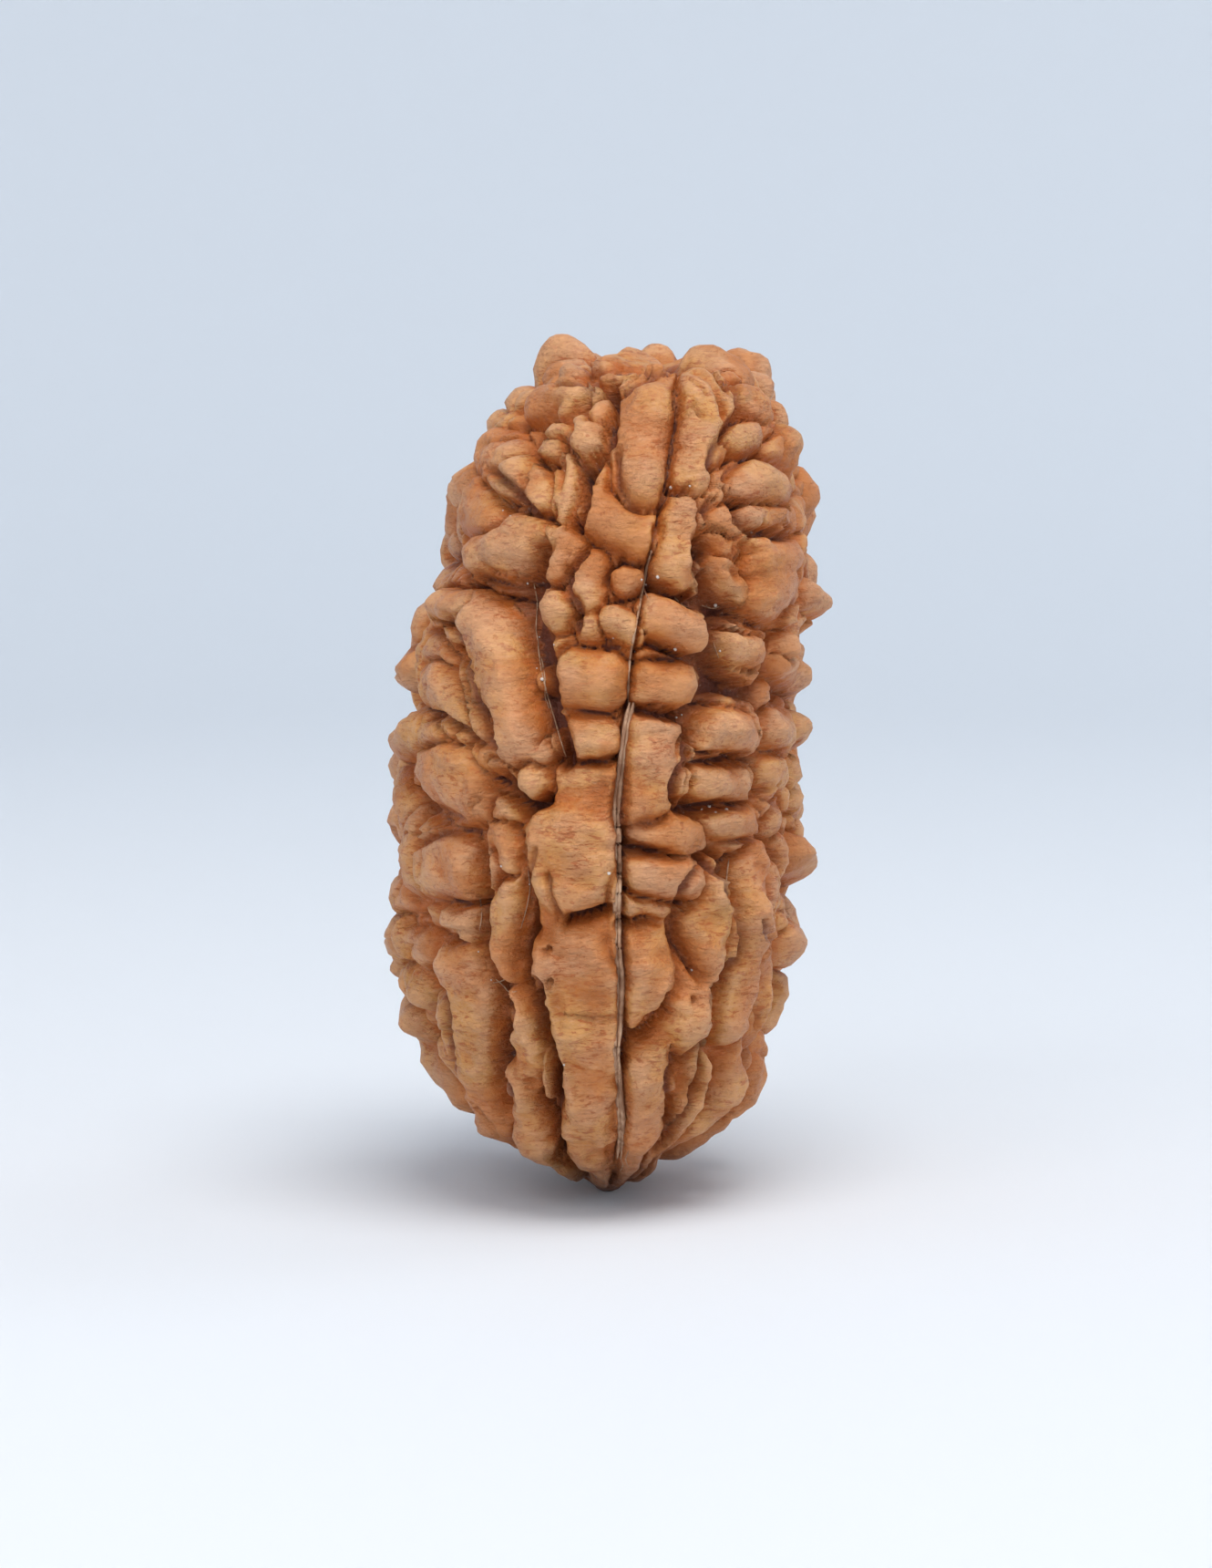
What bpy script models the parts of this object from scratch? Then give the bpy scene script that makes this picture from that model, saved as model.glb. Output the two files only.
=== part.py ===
# Rudraksha bead: the hard stone of an Elaeocarpus fruit, a natural thing in one piece.
# It stands on a small flat spot. +Z is up, the edge with the mukhi groove faces -Y, and
# the origin is the middle of the flat spot. Lengths below are millimetres, and angles are
# degrees round the bead from its front edge, positive towards +X.

import math
import random

import bpy
import numpy as np
from mathutils import Vector, noise

MM = 0.001

# Driving dimensions of the crevice floor, the body that every lobe rises from
FLOOR_BOTTOM = 0.2
FLOOR_TOP = 24.0
FLOOR_HALF_X = 4.92
FLOOR_HALF_Y = 8.7
TOP_FULLNESS = 2.6        # superellipse exponents: 2 is an ellipse, more is squarer
BOTTOM_FULLNESS = 2.15
TIP_NARROWING, TIP_SHARE = 0.66, 0.24     # the lowest part draws in to a tip
MID_Z = (FLOOR_BOTTOM + FLOOR_TOP) / 2
HALF_Z = (FLOOR_TOP - FLOOR_BOTTOM) / 2

# The axis leans a little: its X at some heights
AXIS_Z = (0.0, 1.6, 5.0, 11.0, 14.5, 17.5, 21.0, 25.0)
AXIS_X = (0.1, -0.25, -0.3, -0.45, -0.15, 0.35, 0.85, 1.65)
AXIS_ROUNDING = 1.2

# Relief
MEAN_RISE = 0.9           # lobes are laid out on the floor raised by this much
LOBE_SPREAD = 1.3         # each lobe's foot is this much wider than its laid half width
DOME_POWER, DOME_ROUND = 2.8, 0.52
PAD_POWER, PAD_ROUND = 4.0, 0.5
CREASE_CUT = 0.62         # share of the lower lobe's rise lost where two lobes meet
CREASE_WIDTH = 0.26
LOW_FLOOR_RISE = 0.55     # the lower half has a raised floor, so its furrows are shallower
LOW_FLOOR_TOP, LOW_FLOOR_FULL = 11.5, 8.5
LOW_FLOOR_ASIDE = 0.45    # share of it on the flanks and the back
WOBBLE, WOBBLE_SIZE = 0.25, 1.4      # lobe edges wander by this much
ROUGHNESS, ROUGHNESS_SIZE = 0.05, 0.8
SWELL, SWELL_SIZE = 0.17, 1.5        # lobes stand unevenly high, by this share
VEIN_DEPTH, VEIN_SIZE, VEIN_WIDTH = 0.22, 1.9, 0.07  # winding furrows, flanks and back
STROKE_STEP = 0.18

# The lobes sink towards the lower tip, which ends in the flat spot that the bead stands on
TIP_RISE = 0.5
TIP_TAPER = 2.6
SPOT_HALF_X, SPOT_HALF_Y = 1.3, 2.0
SPOT_BLEND = 0.85         # the foot's sides slope out over this share of its half width
SPOT_SINK = 0.15          # the foot reaches this far below the cut that levels it

SPHERE_DIVISIONS = 7
TRIANGLES = 11400

# Lobes of the front edge and its flanks: rise, then points of (angle, z, half width)
CROWN = [
    (1.1, [(-11, 24.15, .4), (-20, 23.6, .5), (-25, 23, .5), (-24, 22.4, .65)]),
    (1.2, [(-42, 23.5, .6), (-62, 23.3, .75)]),
    (1.2, [(-84, 23.1, .75), (-98, 23.2, .7)]),
    (1.2, [(-82, 22.5, .6), (-95, 22.4, .6)]),
    (1.3, [(-60, 21.9, .7), (-80, 21.8, .7)]),
    (1.1, [(-42, 22.9, .5), (-38, 22.1, .5)]),
    (0.9, [(-35, 22.6, .3), (-30, 22, .3), (-26, 21.3, .3), (-23, 20.6, .3), (-23, 20, .3)]),
    (1.0, [(11, 24.2, .25), (15, 23.7, .4), (17, 23.25, .3)]),
    (1.3, [(20, 24.1, .3), (27, 23.6, .5), (31, 23.1, .55), (28, 22.6, .5)]),
    (1.3, [(36, 24, .45), (49, 23.5, .55), (59, 23.1, .55)]),
    (1.1, [(44, 22.7, .7), (40, 22.2, .6)]),
    (1.15, [(58, 22.2, .6), (72, 21.9, .75)]),
    (1.65, [(-116, 23.95, 1.05)]),
    (1.35, [(-101, 23.95, .75)]),
    (1.6, [(127, 24.1, 1.05)]),
    (1.2, [(104, 23.7, .65)]),
]
LEFT_UPPER = [
    (1.3, [(-47, 21.3, .7), (-36, 20.6, .7)]),
    (1.0, [(-62, 21.3, .35), (-42, 20.5, .35)]),
    (1.35, [(-66, 20.3, .85), (-58, 19.8, .95), (-45, 19.4, .95), (-36, 19.4, .8)]),
    (1.35, [(-82, 20.9, .8), (-90, 20.8, .7)]),
    (0.8, [(-47, 18.7, .36), (-33, 18.4, .36)]),
    (1.1, [(-21, 19.6, .45), (-24, 18.9, .48)]),
    (0.85, [(-21, 17.7, .42)]),
    (1.55, [(-63, 17.4, .5), (-54, 17.5, .6), (-46, 17.4, .75), (-40, 16.9, .82), (-34, 15.7, .8),
            (-29, 15.0, .75), (-26, 14.4, .7), (-22.4, 13.1, .62)]),
    (1.35, [(-70, 15.8, .85), (-58, 15.3, .95), (-44, 14.4, .7)]),
    (1.3, [(-84, 16.7, .7), (-94, 16.9, .6)]),
    (1.5, [(-64, 13.9, .68), (-86, 13.2, .6)]),
    (1.5, [(-52, 13.2, 1.1), (-42, 12.6, 1.1)]),
    (1.1, [(-82, 12.2, .8), (-72, 11.3, .8)]),
    (1.1, [(-34, 12.1, .5), (-22, 12, .5)]),
]
RIGHT_UPPER = [
    (1.4, [(24, 20.3, .5), (38, 20.2, .55)]),
    (0.8, [(26, 19.6, .5), (34, 19.5, .4)]),
    (1.2, [(22, 18.8, .5), (30, 18.5, .5), (37, 18.2, .4)]),
    (1.35, [(37, 21.2, .75), (50, 21, .7), (60, 20.6, .6)]),
    (1.2, [(45, 20.2, .5), (60, 20.1, .5)]),
    (1.0, [(78, 20.1, .6), (86, 19.8, .65)]),
    (1.3, [(48, 19.2, .8), (60, 19, .8)]),
    (0.9, [(78, 18.9, .7), (84, 18.4, .6)]),
    (1.3, [(45, 18.2, .8), (62, 17.8, .8)]),
    (1.4, [(79, 17.7, .5), (89, 17.2, .45)]),
    (1.5, [(38, 16.8, .6), (48, 16.3, .65)]),
    (1.3, [(60, 16.1, .6), (74, 15.5, .55), (86, 15.05, .42)]),
    (1.35, [(30, 14.5, .7), (38, 14.3, .8), (46, 14.15, .7)]),
    (1.3, [(31, 12.85, .6), (40, 12.8, .65), (49, 12.6, .55)]),
    (1.35, [(60, 14.0, .7), (68, 13.8, .8)]),
    (1.2, [(79, 13.8, .6), (87, 13.3, .65)]),
    (1.15, [(58, 12.9, .6), (66, 12.7, .7)]),
    (1.15, [(79, 12.4, .7)]),
    (1.35, [(80, 11.7, .5), (89, 11.3, .45)]),
    (0.9, [(33, 11.9, .5), (42, 11.6, .7), (47, 11.0, .7)]),
]
# The raised band along both sides of the mukhi groove, and the broad flat pads that stand on it
BAND = [
    (0.95, [(-2, 23.6, .7), (-2.3, 22.9, .85), (-2.8, 21.2, .9), (-5.4, 19.8, 1.0), (-5, 18.1, .95),
            (-6.7, 15.9, 1.15), (-3.7, 14.1, .9), (-6.2, 12.4, 1.1), (-7.5, 10.2, 1.2), (-5.3, 8.05, 1.05),
            (-7.1, 6.1, 1.15), (-4.7, 3.6, .92), (-5, 1.2, .7)]),
    (0.95, [(18.7, 22.9, .6), (16.5, 21.2, .65), (14.1, 19.8, .7), (12.2, 18.1, .6), (13.8, 15.9, .85),
            (13.7, 14.1, .9), (13.3, 12.4, .9), (15.8, 10.2, 1.1), (14.2, 8.05, .9), (17.5, 6.1, 1.0),
            (18.5, 3.6, .95), (19.4, 1.2, .6)]),
]
PADS = [
    (1.3, [(3, 24.2, .35), (-1, 23.6, .7), (-2, 23, .9), (0, 22, .95), (0, 21.6, .95), (1, 21.15, .85)]),
    (1.2, [(-10, 20.3, .62), (1, 20.3, .65)]),
    (1.15, [(-11, 19.2, .55), (0, 19.3, .52)]),
    (1.2, [(-8, 18.4, .55), (1, 18.45, .52)]),
    (1.15, [(-9, 17.35, .52), (1, 17.45, .54)]),
    (1.3, [(-13, 16.3, .65), (1, 16.2, .74)]),
    (1.3, [(-6, 14.5, .8), (0, 14.45, .8)]),
    (1.25, [(-11, 12.75, .7), (0, 12.75, .72)]),
    (1.3, [(-6, 12.2, 1.15), (-7.5, 11.4, 1.3), (-8, 10.6, 1.25)]),
    (1.3, [(-8, 7.8, 1.2), (-8.5, 7.3, 1.3), (-7, 6.4, 1.15), (-4.5, 5.2, .95), (-3.5, 4.2, .9),
           (-5, 3.2, .95), (-7, 2.2, .9), (-7, 1.4, .75), (-5, 0.8, .55)]),
    (1.3, [(16, 23, .45), (18, 22.3, .72), (17.5, 21.8, .75), (16, 21.3, .65)]),
    (1.25, [(20, 20.8, .55), (15, 20.3, .7), (13.5, 19.5, .75), (14.5, 18.95, .74)]),
    (1.4, [(9, 17.7, .6), (17, 17.45, .68), (26, 17.2, .52)]),
    (1.3, [(11, 15.75, .66), (18, 15.7, .67)]),
    (1.35, [(12, 14.0, .84), (15, 13.75, .85), (12.5, 12.8, .8), (13, 12, .8), (15, 11.8, .65),
            (23, 11.5, .64)]),
    (1.35, [(12, 10.1, .83), (18, 10.1, .85), (24, 10.0, .72)]),
    (1.25, [(13.5, 8.1, .8), (15, 7.6, .85), (15, 7.1, .8)]),
    (1.3, [(16, 4.7, .8), (17, 4.2, .97), (17.5, 3.2, .97), (17.5, 2.3, .8), (17, 1.5, .6),
           (16, 0.9, .45)]),
]
LOWER_RIDGES = [
    (1.35, [(-45, 10.4, 1.05), (-44, 9.6, 1.05), (-44, 8.9, .95)]),
    (1.3, [(-66, 10.8, .7), (-64, 9.9, .8), (-74, 8.95, .7), (-88, 8.6, .6)]),
    (1.5, [(-62, 7.8, .7), (-72, 7.7, .8)]),
    (1.65, [(-84, 7.5, .8), (-92, 7.3, .75), (-88, 6.6, .7)]),
    (1.35, [(-48, 7.6, .9), (-47, 7, 1.3), (-47, 6, 1.5), (-48, 5, 1.4), (-51, 4, 1.2), (-55, 3.2, 1.0),
            (-58, 2.4, .8), (-60, 1.6, .6)]),
    (1.5, [(-68, 6.4, .7), (-84, 6.2, .7)]),
    (1.75, [(-86, 5.2, .9), (-92, 4.6, 1.1), (-90, 3.8, 1.0), (-85, 3.1, .8)]),
    (1.0, [(-78, 2.2, .6), (-62, 1.8, .5)]),
    (1.25, [(-26, 11.3, .6), (-26, 10, .8), (-26, 9, .75), (-27, 8, .7), (-28, 7.4, .5)]),
    (1.3, [(-26, 6.5, .5), (-26, 6, .9), (-26, 5, 1.0), (-29, 4, 1.0), (-32, 3.2, .9), (-35, 2.4, .75),
           (-38, 1.6, .6), (-38, 0.9, .5)]),
    (1.15, [(-17, 4.9, .4), (-18, 4.2, .5), (-18, 3.4, .45), (-20, 2.4, .4), (-24, 1.4, .4)]),
    (1.3, [(35, 9.9, .6), (35, 9, 1.0), (34, 8, 1.0), (32, 7, .95), (30, 6.1, .95), (29, 5.2, .8)]),
    (1.25, [(35, 5.2, .6), (34, 4.4, .8), (33, 3.6, .8), (33, 2.8, .65), (32, 1.8, .55), (30, 1.0, .45)]),
    (1.3, [(50, 10.2, .8), (51, 9, 1.1), (51, 8, 1.1), (49, 7.2, 1.0), (47, 6.4, .9), (46, 5.6, .8)]),
    (1.15, [(64, 9.4, .8), (66, 8.6, .8), (63, 7.2, .9), (60, 6.2, .9), (60, 5.4, .8)]),
    (1.6, [(80, 10.0, .6), (89, 9.5, .6)]),
    (1.6, [(78, 7.3, .7), (88, 7.25, .75)]),
    (1.25, [(84, 5.9, .8), (84, 5.2, .7)]),
    (1.25, [(50, 4.7, .7), (52, 3.8, .9), (50, 3, .85), (48, 2.2, .7), (46, 1.4, .55), (44, 0.8, .4)]),
    (1.25, [(74, 4.1, .9), (76, 3.2, .85), (72, 2.3, .75), (68, 1.5, .6)]),
]

# Furrows and pits cut into the lobes: depth, then points of (angle, z, half width)
MUKHI_GROOVE = (0.6, [(9, 24.3, .22), (10, 23.2, .24), (10, 22.2, .24), (8.5, 21.2, .24), (6.5, 20, .24),
                      (5.2, 19.2, .24), (5.5, 18.3, .26), (5.3, 16.5, .26), (4.3, 15, .26), (5, 14, .26),
                      (4.4, 13, .26), (4.7, 12, .26), (4.6, 10, .26), (5.2, 8, .26), (6.1, 5, .26),
                      (7, 3, .26), (8, 1.2, .24)])
FURROWS = [
    (1.2, [(-31, 19.3, .25), (-29, 18, .35), (-25, 17.2, .4), (-20.5, 16, .45), (-14.5, 14.6, .4),
           (-9.5, 13.6, .3)]),
    (1.1, [(27, 19.4, .3), (26.5, 18.2, .4), (30, 17.2, .5), (29, 15.7, .55), (26, 14.7, .4),
           (24.5, 13.4, .5), (25, 12.3, .4)]),
    (0.7, [(-30, 24, .25), (-31, 23.2, .35), (-30, 22.4, .35)]),
    (0.8, [(-13, 23.6, .25), (-15, 22.6, .35), (-15.5, 21.4, .35), (-15, 20.6, .35)]),
    (0.8, [(-48, 19.0, .25), (-40, 18.55, .35), (-28, 18.3, .4)]),
    (0.9, [(-38, 13.9, .35), (-31, 13.0, .4), (-24, 12.2, .45), (-20, 12.1, .35)]),
    (0.9, [(-52, 16.5, .3), (-44, 16.0, .4), (-40, 15.0, .4), (-34.5, 13.8, .4)]),
    (1.0, [(-62, 11.9, .4), (-52, 11.6, .4), (-40, 11.5, .35), (-31, 11.3, .35)]),
    (1.5, [(-72, 14.2, .5), (-84, 14.2, .75), (-98, 14.2, .8), (-110, 14.2, .6)]),
    (1.2, [(-72, 18.8, .4), (-84, 18.6, .65), (-98, 18.5, .7), (-110, 18.5, .5)]),
    (0.9, [(76, 16.3, .35), (90, 16.2, .5), (104, 16.2, .4)]),
    (0.9, [(76, 14.45, .35), (90, 14.4, .45), (104, 14.4, .4)]),
    (0.7, [(78, 12.95, .3), (90, 12.9, .4), (102, 12.9, .35)]),
    (0.9, [(78, 8.9, .35), (92, 8.85, .5), (104, 8.8, .4)]),
    (0.9, [(-18, 11.1, .25), (-19, 10.5, .4), (-19.5, 9.2, .4), (-20, 8.5, .4), (-22, 7.6, .35),
           (-24, 7.0, .3)]),
    (1.0, [(-33.5, 11, .3), (-33, 10, .45), (-34, 9, .45), (-35, 8.2, .5), (-32, 7.4, .45), (-30, 6.8, .4),
           (-31, 6, .35), (-33, 5.2, .4), (-36, 4.6, .4), (-41, 3.9, .35), (-46, 3.1, .3)]),
    (0.8, [(-21, 6.7, .4), (-17, 6.1, .45), (-16, 5.5, .35), (-14, 5.1, .35), (-13.5, 4.3, .35),
           (-13.5, 3.4, .3)]),
    (0.8, [(-24, 4.2, .3), (-23, 3.5, .4), (-22, 2.7, .35), (-23, 2.0, .4), (-26, 1.5, .35)]),
    (0.7, [(-7, 9.0, .25), (-3, 9.15, .35), (3, 9.35, .35)]),
    (0.9, [(8, 11.15, .3), (14, 11.1, .38), (19, 11.1, .3)]),
    (0.8, [(9, 8.95, .3), (14, 8.9, .4), (19, 9.0, .35)]),
    (0.7, [(24, 9.4, .35), (24, 8.7, .4), (26, 8.1, .4), (28, 7.5, .35), (29, 7.2, .3)]),
    (0.75, [(22, 6.4, .3), (19, 6.0, .4), (14, 5.6, .4), (11, 5.4, .3)]),
    (0.85, [(38, 7.2, .4), (39, 6.6, .4)]),
    (0.85, [(40, 5.0, .3), (40, 4.3, .4), (42, 3.6, .35), (40, 3.0, .4), (36, 2.6, .45), (31, 2.1, .35)]),
    (0.6, [(28, 3.3, .25), (27.5, 2.6, .35), (28, 2.0, .3)]),
    (0.8, [(-63, 6.8, .4), (-63, 6, .4), (-66, 5.2, .5), (-68, 4.4, .4)]),
    (0.7, [(-72, 8.2, .3), (-56, 8.2, .3), (-42, 8.2, .3)]),
    (0.8, [(68, 8.5, .35), (69, 7.7, .35)]),
    (0.6, [(32.5, 6.35, .3)]),
    (0.5, [(26.5, 5.05, .28)]),
    (0.4, [(-13.5, 8.15, .2)]),
    (0.4, [(-13.5, 7.2, .22)]),
    (0.7, [(-2, 16.75, .3), (4, 16.75, .3)]),
    (0.5, [(-14, 19.7, .25)]),
]
REAR_GROOVE = (0.8, [(180, 24.2, .3), (178, 21, .36), (181, 17, .38), (179, 12, .38), (180, 7, .38),
                     (179, 3, .36), (180, 1.2, .3)])

# Winding lobes grown where none is laid by hand: tries, the least angle from the front
# edge, then ranges of half width, of steps and of rise
GROWTH_SEED = 27
GROWTH = [
    (900, 96, (0.78, 1.0), (3, 8), (1.2, 1.45)),
    (3000, 93, (0.6, 0.8), (1, 4), (1.1, 1.35)),
    (7000, 55, (0.42, 0.58), (0, 2), (0.8, 1.05)),
]
GROWTH_STEP = 0.55
TURN = 24                               # degrees that a lobe may swing at each step
LEAST_GAP = 0.8                         # share of two half widths kept between centre lines
UPRIGHT_BELOW = 10.5
CROWN_ABOVE, CROWN_RISE = 24.3, 0.65    # lobes on the very top stand lower, and go all round


def axis_x(z):
    """X of the leaning axis, its corners rounded by a running mean"""
    shifts = np.linspace(-AXIS_ROUNDING, AXIS_ROUNDING, 7)
    return sum(np.interp(z + shift, AXIS_Z, AXIS_X) for shift in shifts) / len(shifts)


def fullness(z):
    return np.where(z > MID_Z, TOP_FULLNESS, BOTTOM_FULLNESS)


def smooth_step(share):
    share = np.clip(share, 0, 1)
    return share * share * (3 - 2 * share)


def tip_scale(height):
    """Drawing in of the lower tip, for heights from -1 at the bottom to 1 at the top"""
    return 1 - TIP_NARROWING * (1 - smooth_step((1 + height) / TIP_SHARE))


def floor_points(directions):
    """Points and outward directions of the crevice floor for unit vectors"""
    n = fullness(MID_Z + directions[:, 2])
    flat = np.hypot(directions[:, 0], directions[:, 1])
    reach = (flat ** n + np.abs(directions[:, 2]) ** n) ** (-1 / n)
    unit = directions * reach[:, None]
    ring = np.maximum(flat * reach, 1e-6)
    points = unit * (FLOOR_HALF_X, FLOOR_HALF_Y, HALF_Z)
    points[:, :2] *= tip_scale(unit[:, 2])[:, None]
    points[:, 2] += MID_Z
    points[:, 0] += axis_x(points[:, 2])
    steep = ring ** (n - 2)
    outward = np.stack([steep * unit[:, 0] / FLOOR_HALF_X,
                        steep * unit[:, 1] / FLOOR_HALF_Y,
                        np.sign(unit[:, 2]) * np.abs(unit[:, 2]) ** (n - 1) / HALF_Z], axis=1)
    outward /= np.linalg.norm(outward, axis=1)[:, None]
    return points, outward


def layout_points(angle, z):
    """Points of the surface that the lobes are laid out on, from degrees and heights"""
    half_z = HALF_Z + MEAN_RISE
    height = np.clip((z - MID_Z) / half_z, -1, 1)
    n = fullness(z)
    ring = (1 - np.abs(height) ** n) ** (1 / n) * tip_scale(height)
    turn = np.radians(angle)
    x = axis_x(z) + (FLOOR_HALF_X + MEAN_RISE) * ring * np.sin(turn)
    y = -(FLOOR_HALF_Y + MEAN_RISE) * ring * np.cos(turn)
    return np.stack([x, y, MID_Z + half_z * height], axis=1)


def stroke_points(path):
    """A stroke's centre points, close together, and its half width at each"""
    corners = np.array(path, dtype=float)
    if len(corners) == 1:
        return layout_points(corners[:, 0], corners[:, 1]), corners[:, 2]
    places = layout_points(corners[:, 0], corners[:, 1])
    runs = np.linalg.norm(np.diff(places, axis=0), axis=1)
    along = np.concatenate([[0], np.cumsum(runs)])
    stations = np.linspace(0, along[-1], max(2, int(along[-1] / STROKE_STEP) + 1))
    angle, z, half = (np.interp(stations, along, corners[:, i]) for i in range(3))
    return layout_points(angle, z), half


def nearness(places, path):
    """For the places near a stroke: their indices and their distance in half widths"""
    centres, half = stroke_points(path)
    middle = centres.mean(axis=0)
    reach = np.linalg.norm(centres - middle, axis=1).max() + half.max()
    near = np.nonzero(np.sum((places - middle) ** 2, axis=1) < reach ** 2)[0]
    ratio = np.full(len(near), np.inf)
    for centre, width in zip(centres, half):
        ratio = np.minimum(ratio, np.linalg.norm(places[near] - centre, axis=1) / width)
    inside = ratio < 1
    return near[inside], ratio[inside]


def add_lobes(levels, places, lobes, power, rounding):
    """Raises the two highest lobe levels at every place"""
    highest, second = levels
    for rise, path in lobes:
        near, ratio = nearness(places, [(angle, z, half * LOBE_SPREAD) for angle, z, half in path])
        dome = rise * (1 - ratio ** power) ** rounding
        second[near] = np.maximum(second[near], np.minimum(highest[near], dome))
        highest[near] = np.maximum(highest[near], dome)


def cut_furrows(level, places, furrows):
    for depth, path in furrows:
        near, ratio = nearness(places, path)
        level[near] -= depth * (1 - ratio) ** 1.2


def step_on(angle, z, heading, length):
    """The place reached by walking over the layout surface"""
    ends = layout_points(np.array([angle - 0.5, angle + 0.5]), np.array([z, z]))
    per_mm = 1 / max(np.linalg.norm(ends[1] - ends[0]), 0.03)
    return angle + math.cos(heading) * length * per_mm, z + math.sin(heading) * length


def grown_lobes(laid):
    """Winding lobes on the flanks, back, crown and foot, each stopping at its neighbours"""
    rng = random.Random(GROWTH_SEED)
    strokes = [stroke_points(path) for rise, path in laid]
    centres = np.concatenate([stroke[0] for stroke in strokes])
    halves = np.concatenate([stroke[1] for stroke in strokes])
    lobes = []
    for tries, from_angle, half_range, step_range, rise_range in GROWTH:
        for attempt in range(tries):
            angle, z = rng.uniform(-180, 180), rng.uniform(0.7, 24.85)
            half, steps = rng.uniform(*half_range), rng.randint(*step_range)
            heading = math.radians(rng.gauss(0, 35) if z > UPRIGHT_BELOW else rng.gauss(-90, 15))
            rise = rng.uniform(*rise_range) * (CROWN_RISE if z > CROWN_ABOVE else 1)
            if abs(angle) < from_angle and z < CROWN_ABOVE:
                continue
            path = []
            for step in range(steps + 1):
                place = (angle, z, half * rng.uniform(0.84, 1.08))
                centre = layout_points(np.array([angle]), np.array([z]))[0]
                gap = np.linalg.norm(centres - centre, axis=1)
                if np.any(gap < LEAST_GAP * (place[2] + halves)) or not 0.5 < z < 24.87:
                    break
                path.append(place)
                heading += math.radians(rng.uniform(-TURN, TURN))
                angle, z = step_on(angle, z, heading, GROWTH_STEP)
            if len(path) > min(steps, 2) * 0.9:
                new_centres, new_halves = stroke_points(path)
                centres = np.concatenate([centres, new_centres])
                halves = np.concatenate([halves, new_halves])
                lobes.append((rise, path))
    return lobes


def noise_at(places, size, offset):
    shift = Vector(offset)
    return np.array([noise.noise(Vector(place) / size + shift) for place in places])


def relief(floor, outward):
    """Rise of the bead's surface over its crevice floor"""
    places = floor + MEAN_RISE * outward
    wobble = np.stack([noise_at(places, WOBBLE_SIZE, (7 * axis, 3.1, 0)) for axis in range(3)], axis=1)
    places = places + WOBBLE * wobble
    domes = CROWN + LEFT_UPPER + RIGHT_UPPER + LOWER_RIDGES
    domes = domes + grown_lobes(domes + PADS + BAND)
    swell = 1 + SWELL * 2 * noise_at(places, SWELL_SIZE, (0, 5, 0))
    vein = noise_at(places, VEIN_SIZE, (11, 0, 2))
    levels = np.zeros(len(places)), np.zeros(len(places))
    add_lobes(levels, places, domes, DOME_POWER, DOME_ROUND)
    add_lobes(levels, places, PADS, PAD_POWER, PAD_ROUND)
    highest, second = levels
    level = swell * (highest - CREASE_CUT * second * np.exp((second - highest) / CREASE_WIDTH))
    band = np.zeros(len(places)), np.zeros(len(places))
    add_lobes(band, places, BAND, PAD_POWER, PAD_ROUND)
    level = np.maximum(level, band[0])
    aside = smooth_step((floor[:, 1] + 6) / 3)
    level -= VEIN_DEPTH * aside * np.exp(-(vein / VEIN_WIDTH) ** 2) * np.clip(level, 0, 1)
    low = smooth_step((LOW_FLOOR_TOP - floor[:, 2]) / (LOW_FLOOR_TOP - LOW_FLOOR_FULL))
    level = np.maximum(level, LOW_FLOOR_RISE * low * (1 - (1 - LOW_FLOOR_ASIDE) * aside))
    cut_furrows(level, places, FURROWS + [MUKHI_GROOVE, REAR_GROOVE])
    level *= TIP_RISE + (1 - TIP_RISE) * smooth_step((floor[:, 2] - FLOOR_BOTTOM) / TIP_TAPER)
    return level + ROUGHNESS * noise_at(places, ROUGHNESS_SIZE, (0, 0, 9))


def lower_foot(surface):
    """Draws the tip down round the spot that the bead stands on"""
    away = np.hypot(surface[:, 0] / SPOT_HALF_X, surface[:, 1] / SPOT_HALF_Y)
    share = np.where(surface[:, 2] < MID_Z, smooth_step((1 + SPOT_BLEND - away) / SPOT_BLEND), 0)
    surface[:, 2] -= share * (surface[:, 2] + SPOT_SINK)


def make_bead():
    """The bead's surface: a fine sphere shaped into the floor and raised by the relief"""
    bpy.ops.mesh.primitive_ico_sphere_add(subdivisions=SPHERE_DIVISIONS, radius=1)
    bead = bpy.context.object
    bead.name = bead.data.name = "bead"
    count = len(bead.data.vertices)
    corners = np.empty(count * 3, dtype=np.float32)
    bead.data.vertices.foreach_get("co", corners)
    directions = corners.reshape(-1, 3).astype(float)
    directions /= np.linalg.norm(directions, axis=1)[:, None]
    floor, outward = floor_points(directions)
    surface = floor + outward * relief(floor, outward)[:, None]
    lower_foot(surface)
    bead.data.vertices.foreach_set("co", (surface * MM).astype(np.float32).ravel())
    bead.data.update()
    fewer = bead.modifiers.new("fewer_triangles", "DECIMATE")
    fewer.ratio = TRIANGLES / len(bead.data.polygons)
    bead.data.shade_smooth()
    return bead


def cut_flat_spot(bead, cutters):
    """Levels the foot at z = 0, so the bead stands by itself"""
    bpy.ops.mesh.primitive_cube_add(size=1, location=(0, 0, -5 * MM))
    block = bpy.context.object
    block.name = "ground_cutter"
    block.scale = (30 * MM, 30 * MM, 10 * MM)
    block.hide_render = True
    block.display_type = "WIRE"
    move_to(block, cutters)
    cut = bead.modifiers.new("flat_spot", "BOOLEAN")
    cut.operation = "DIFFERENCE"
    cut.solver = "EXACT"
    cut.object = block


def make_material():
    material = bpy.data.materials.new("dry_bead_wood")
    material.use_nodes = True
    shader = material.node_tree.nodes["Principled BSDF"]
    shader.inputs["Base Color"].default_value = (0.45, 0.21, 0.10, 1)
    shader.inputs["Roughness"].default_value = 0.58
    shader.inputs["Metallic"].default_value = 0
    return material


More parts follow.
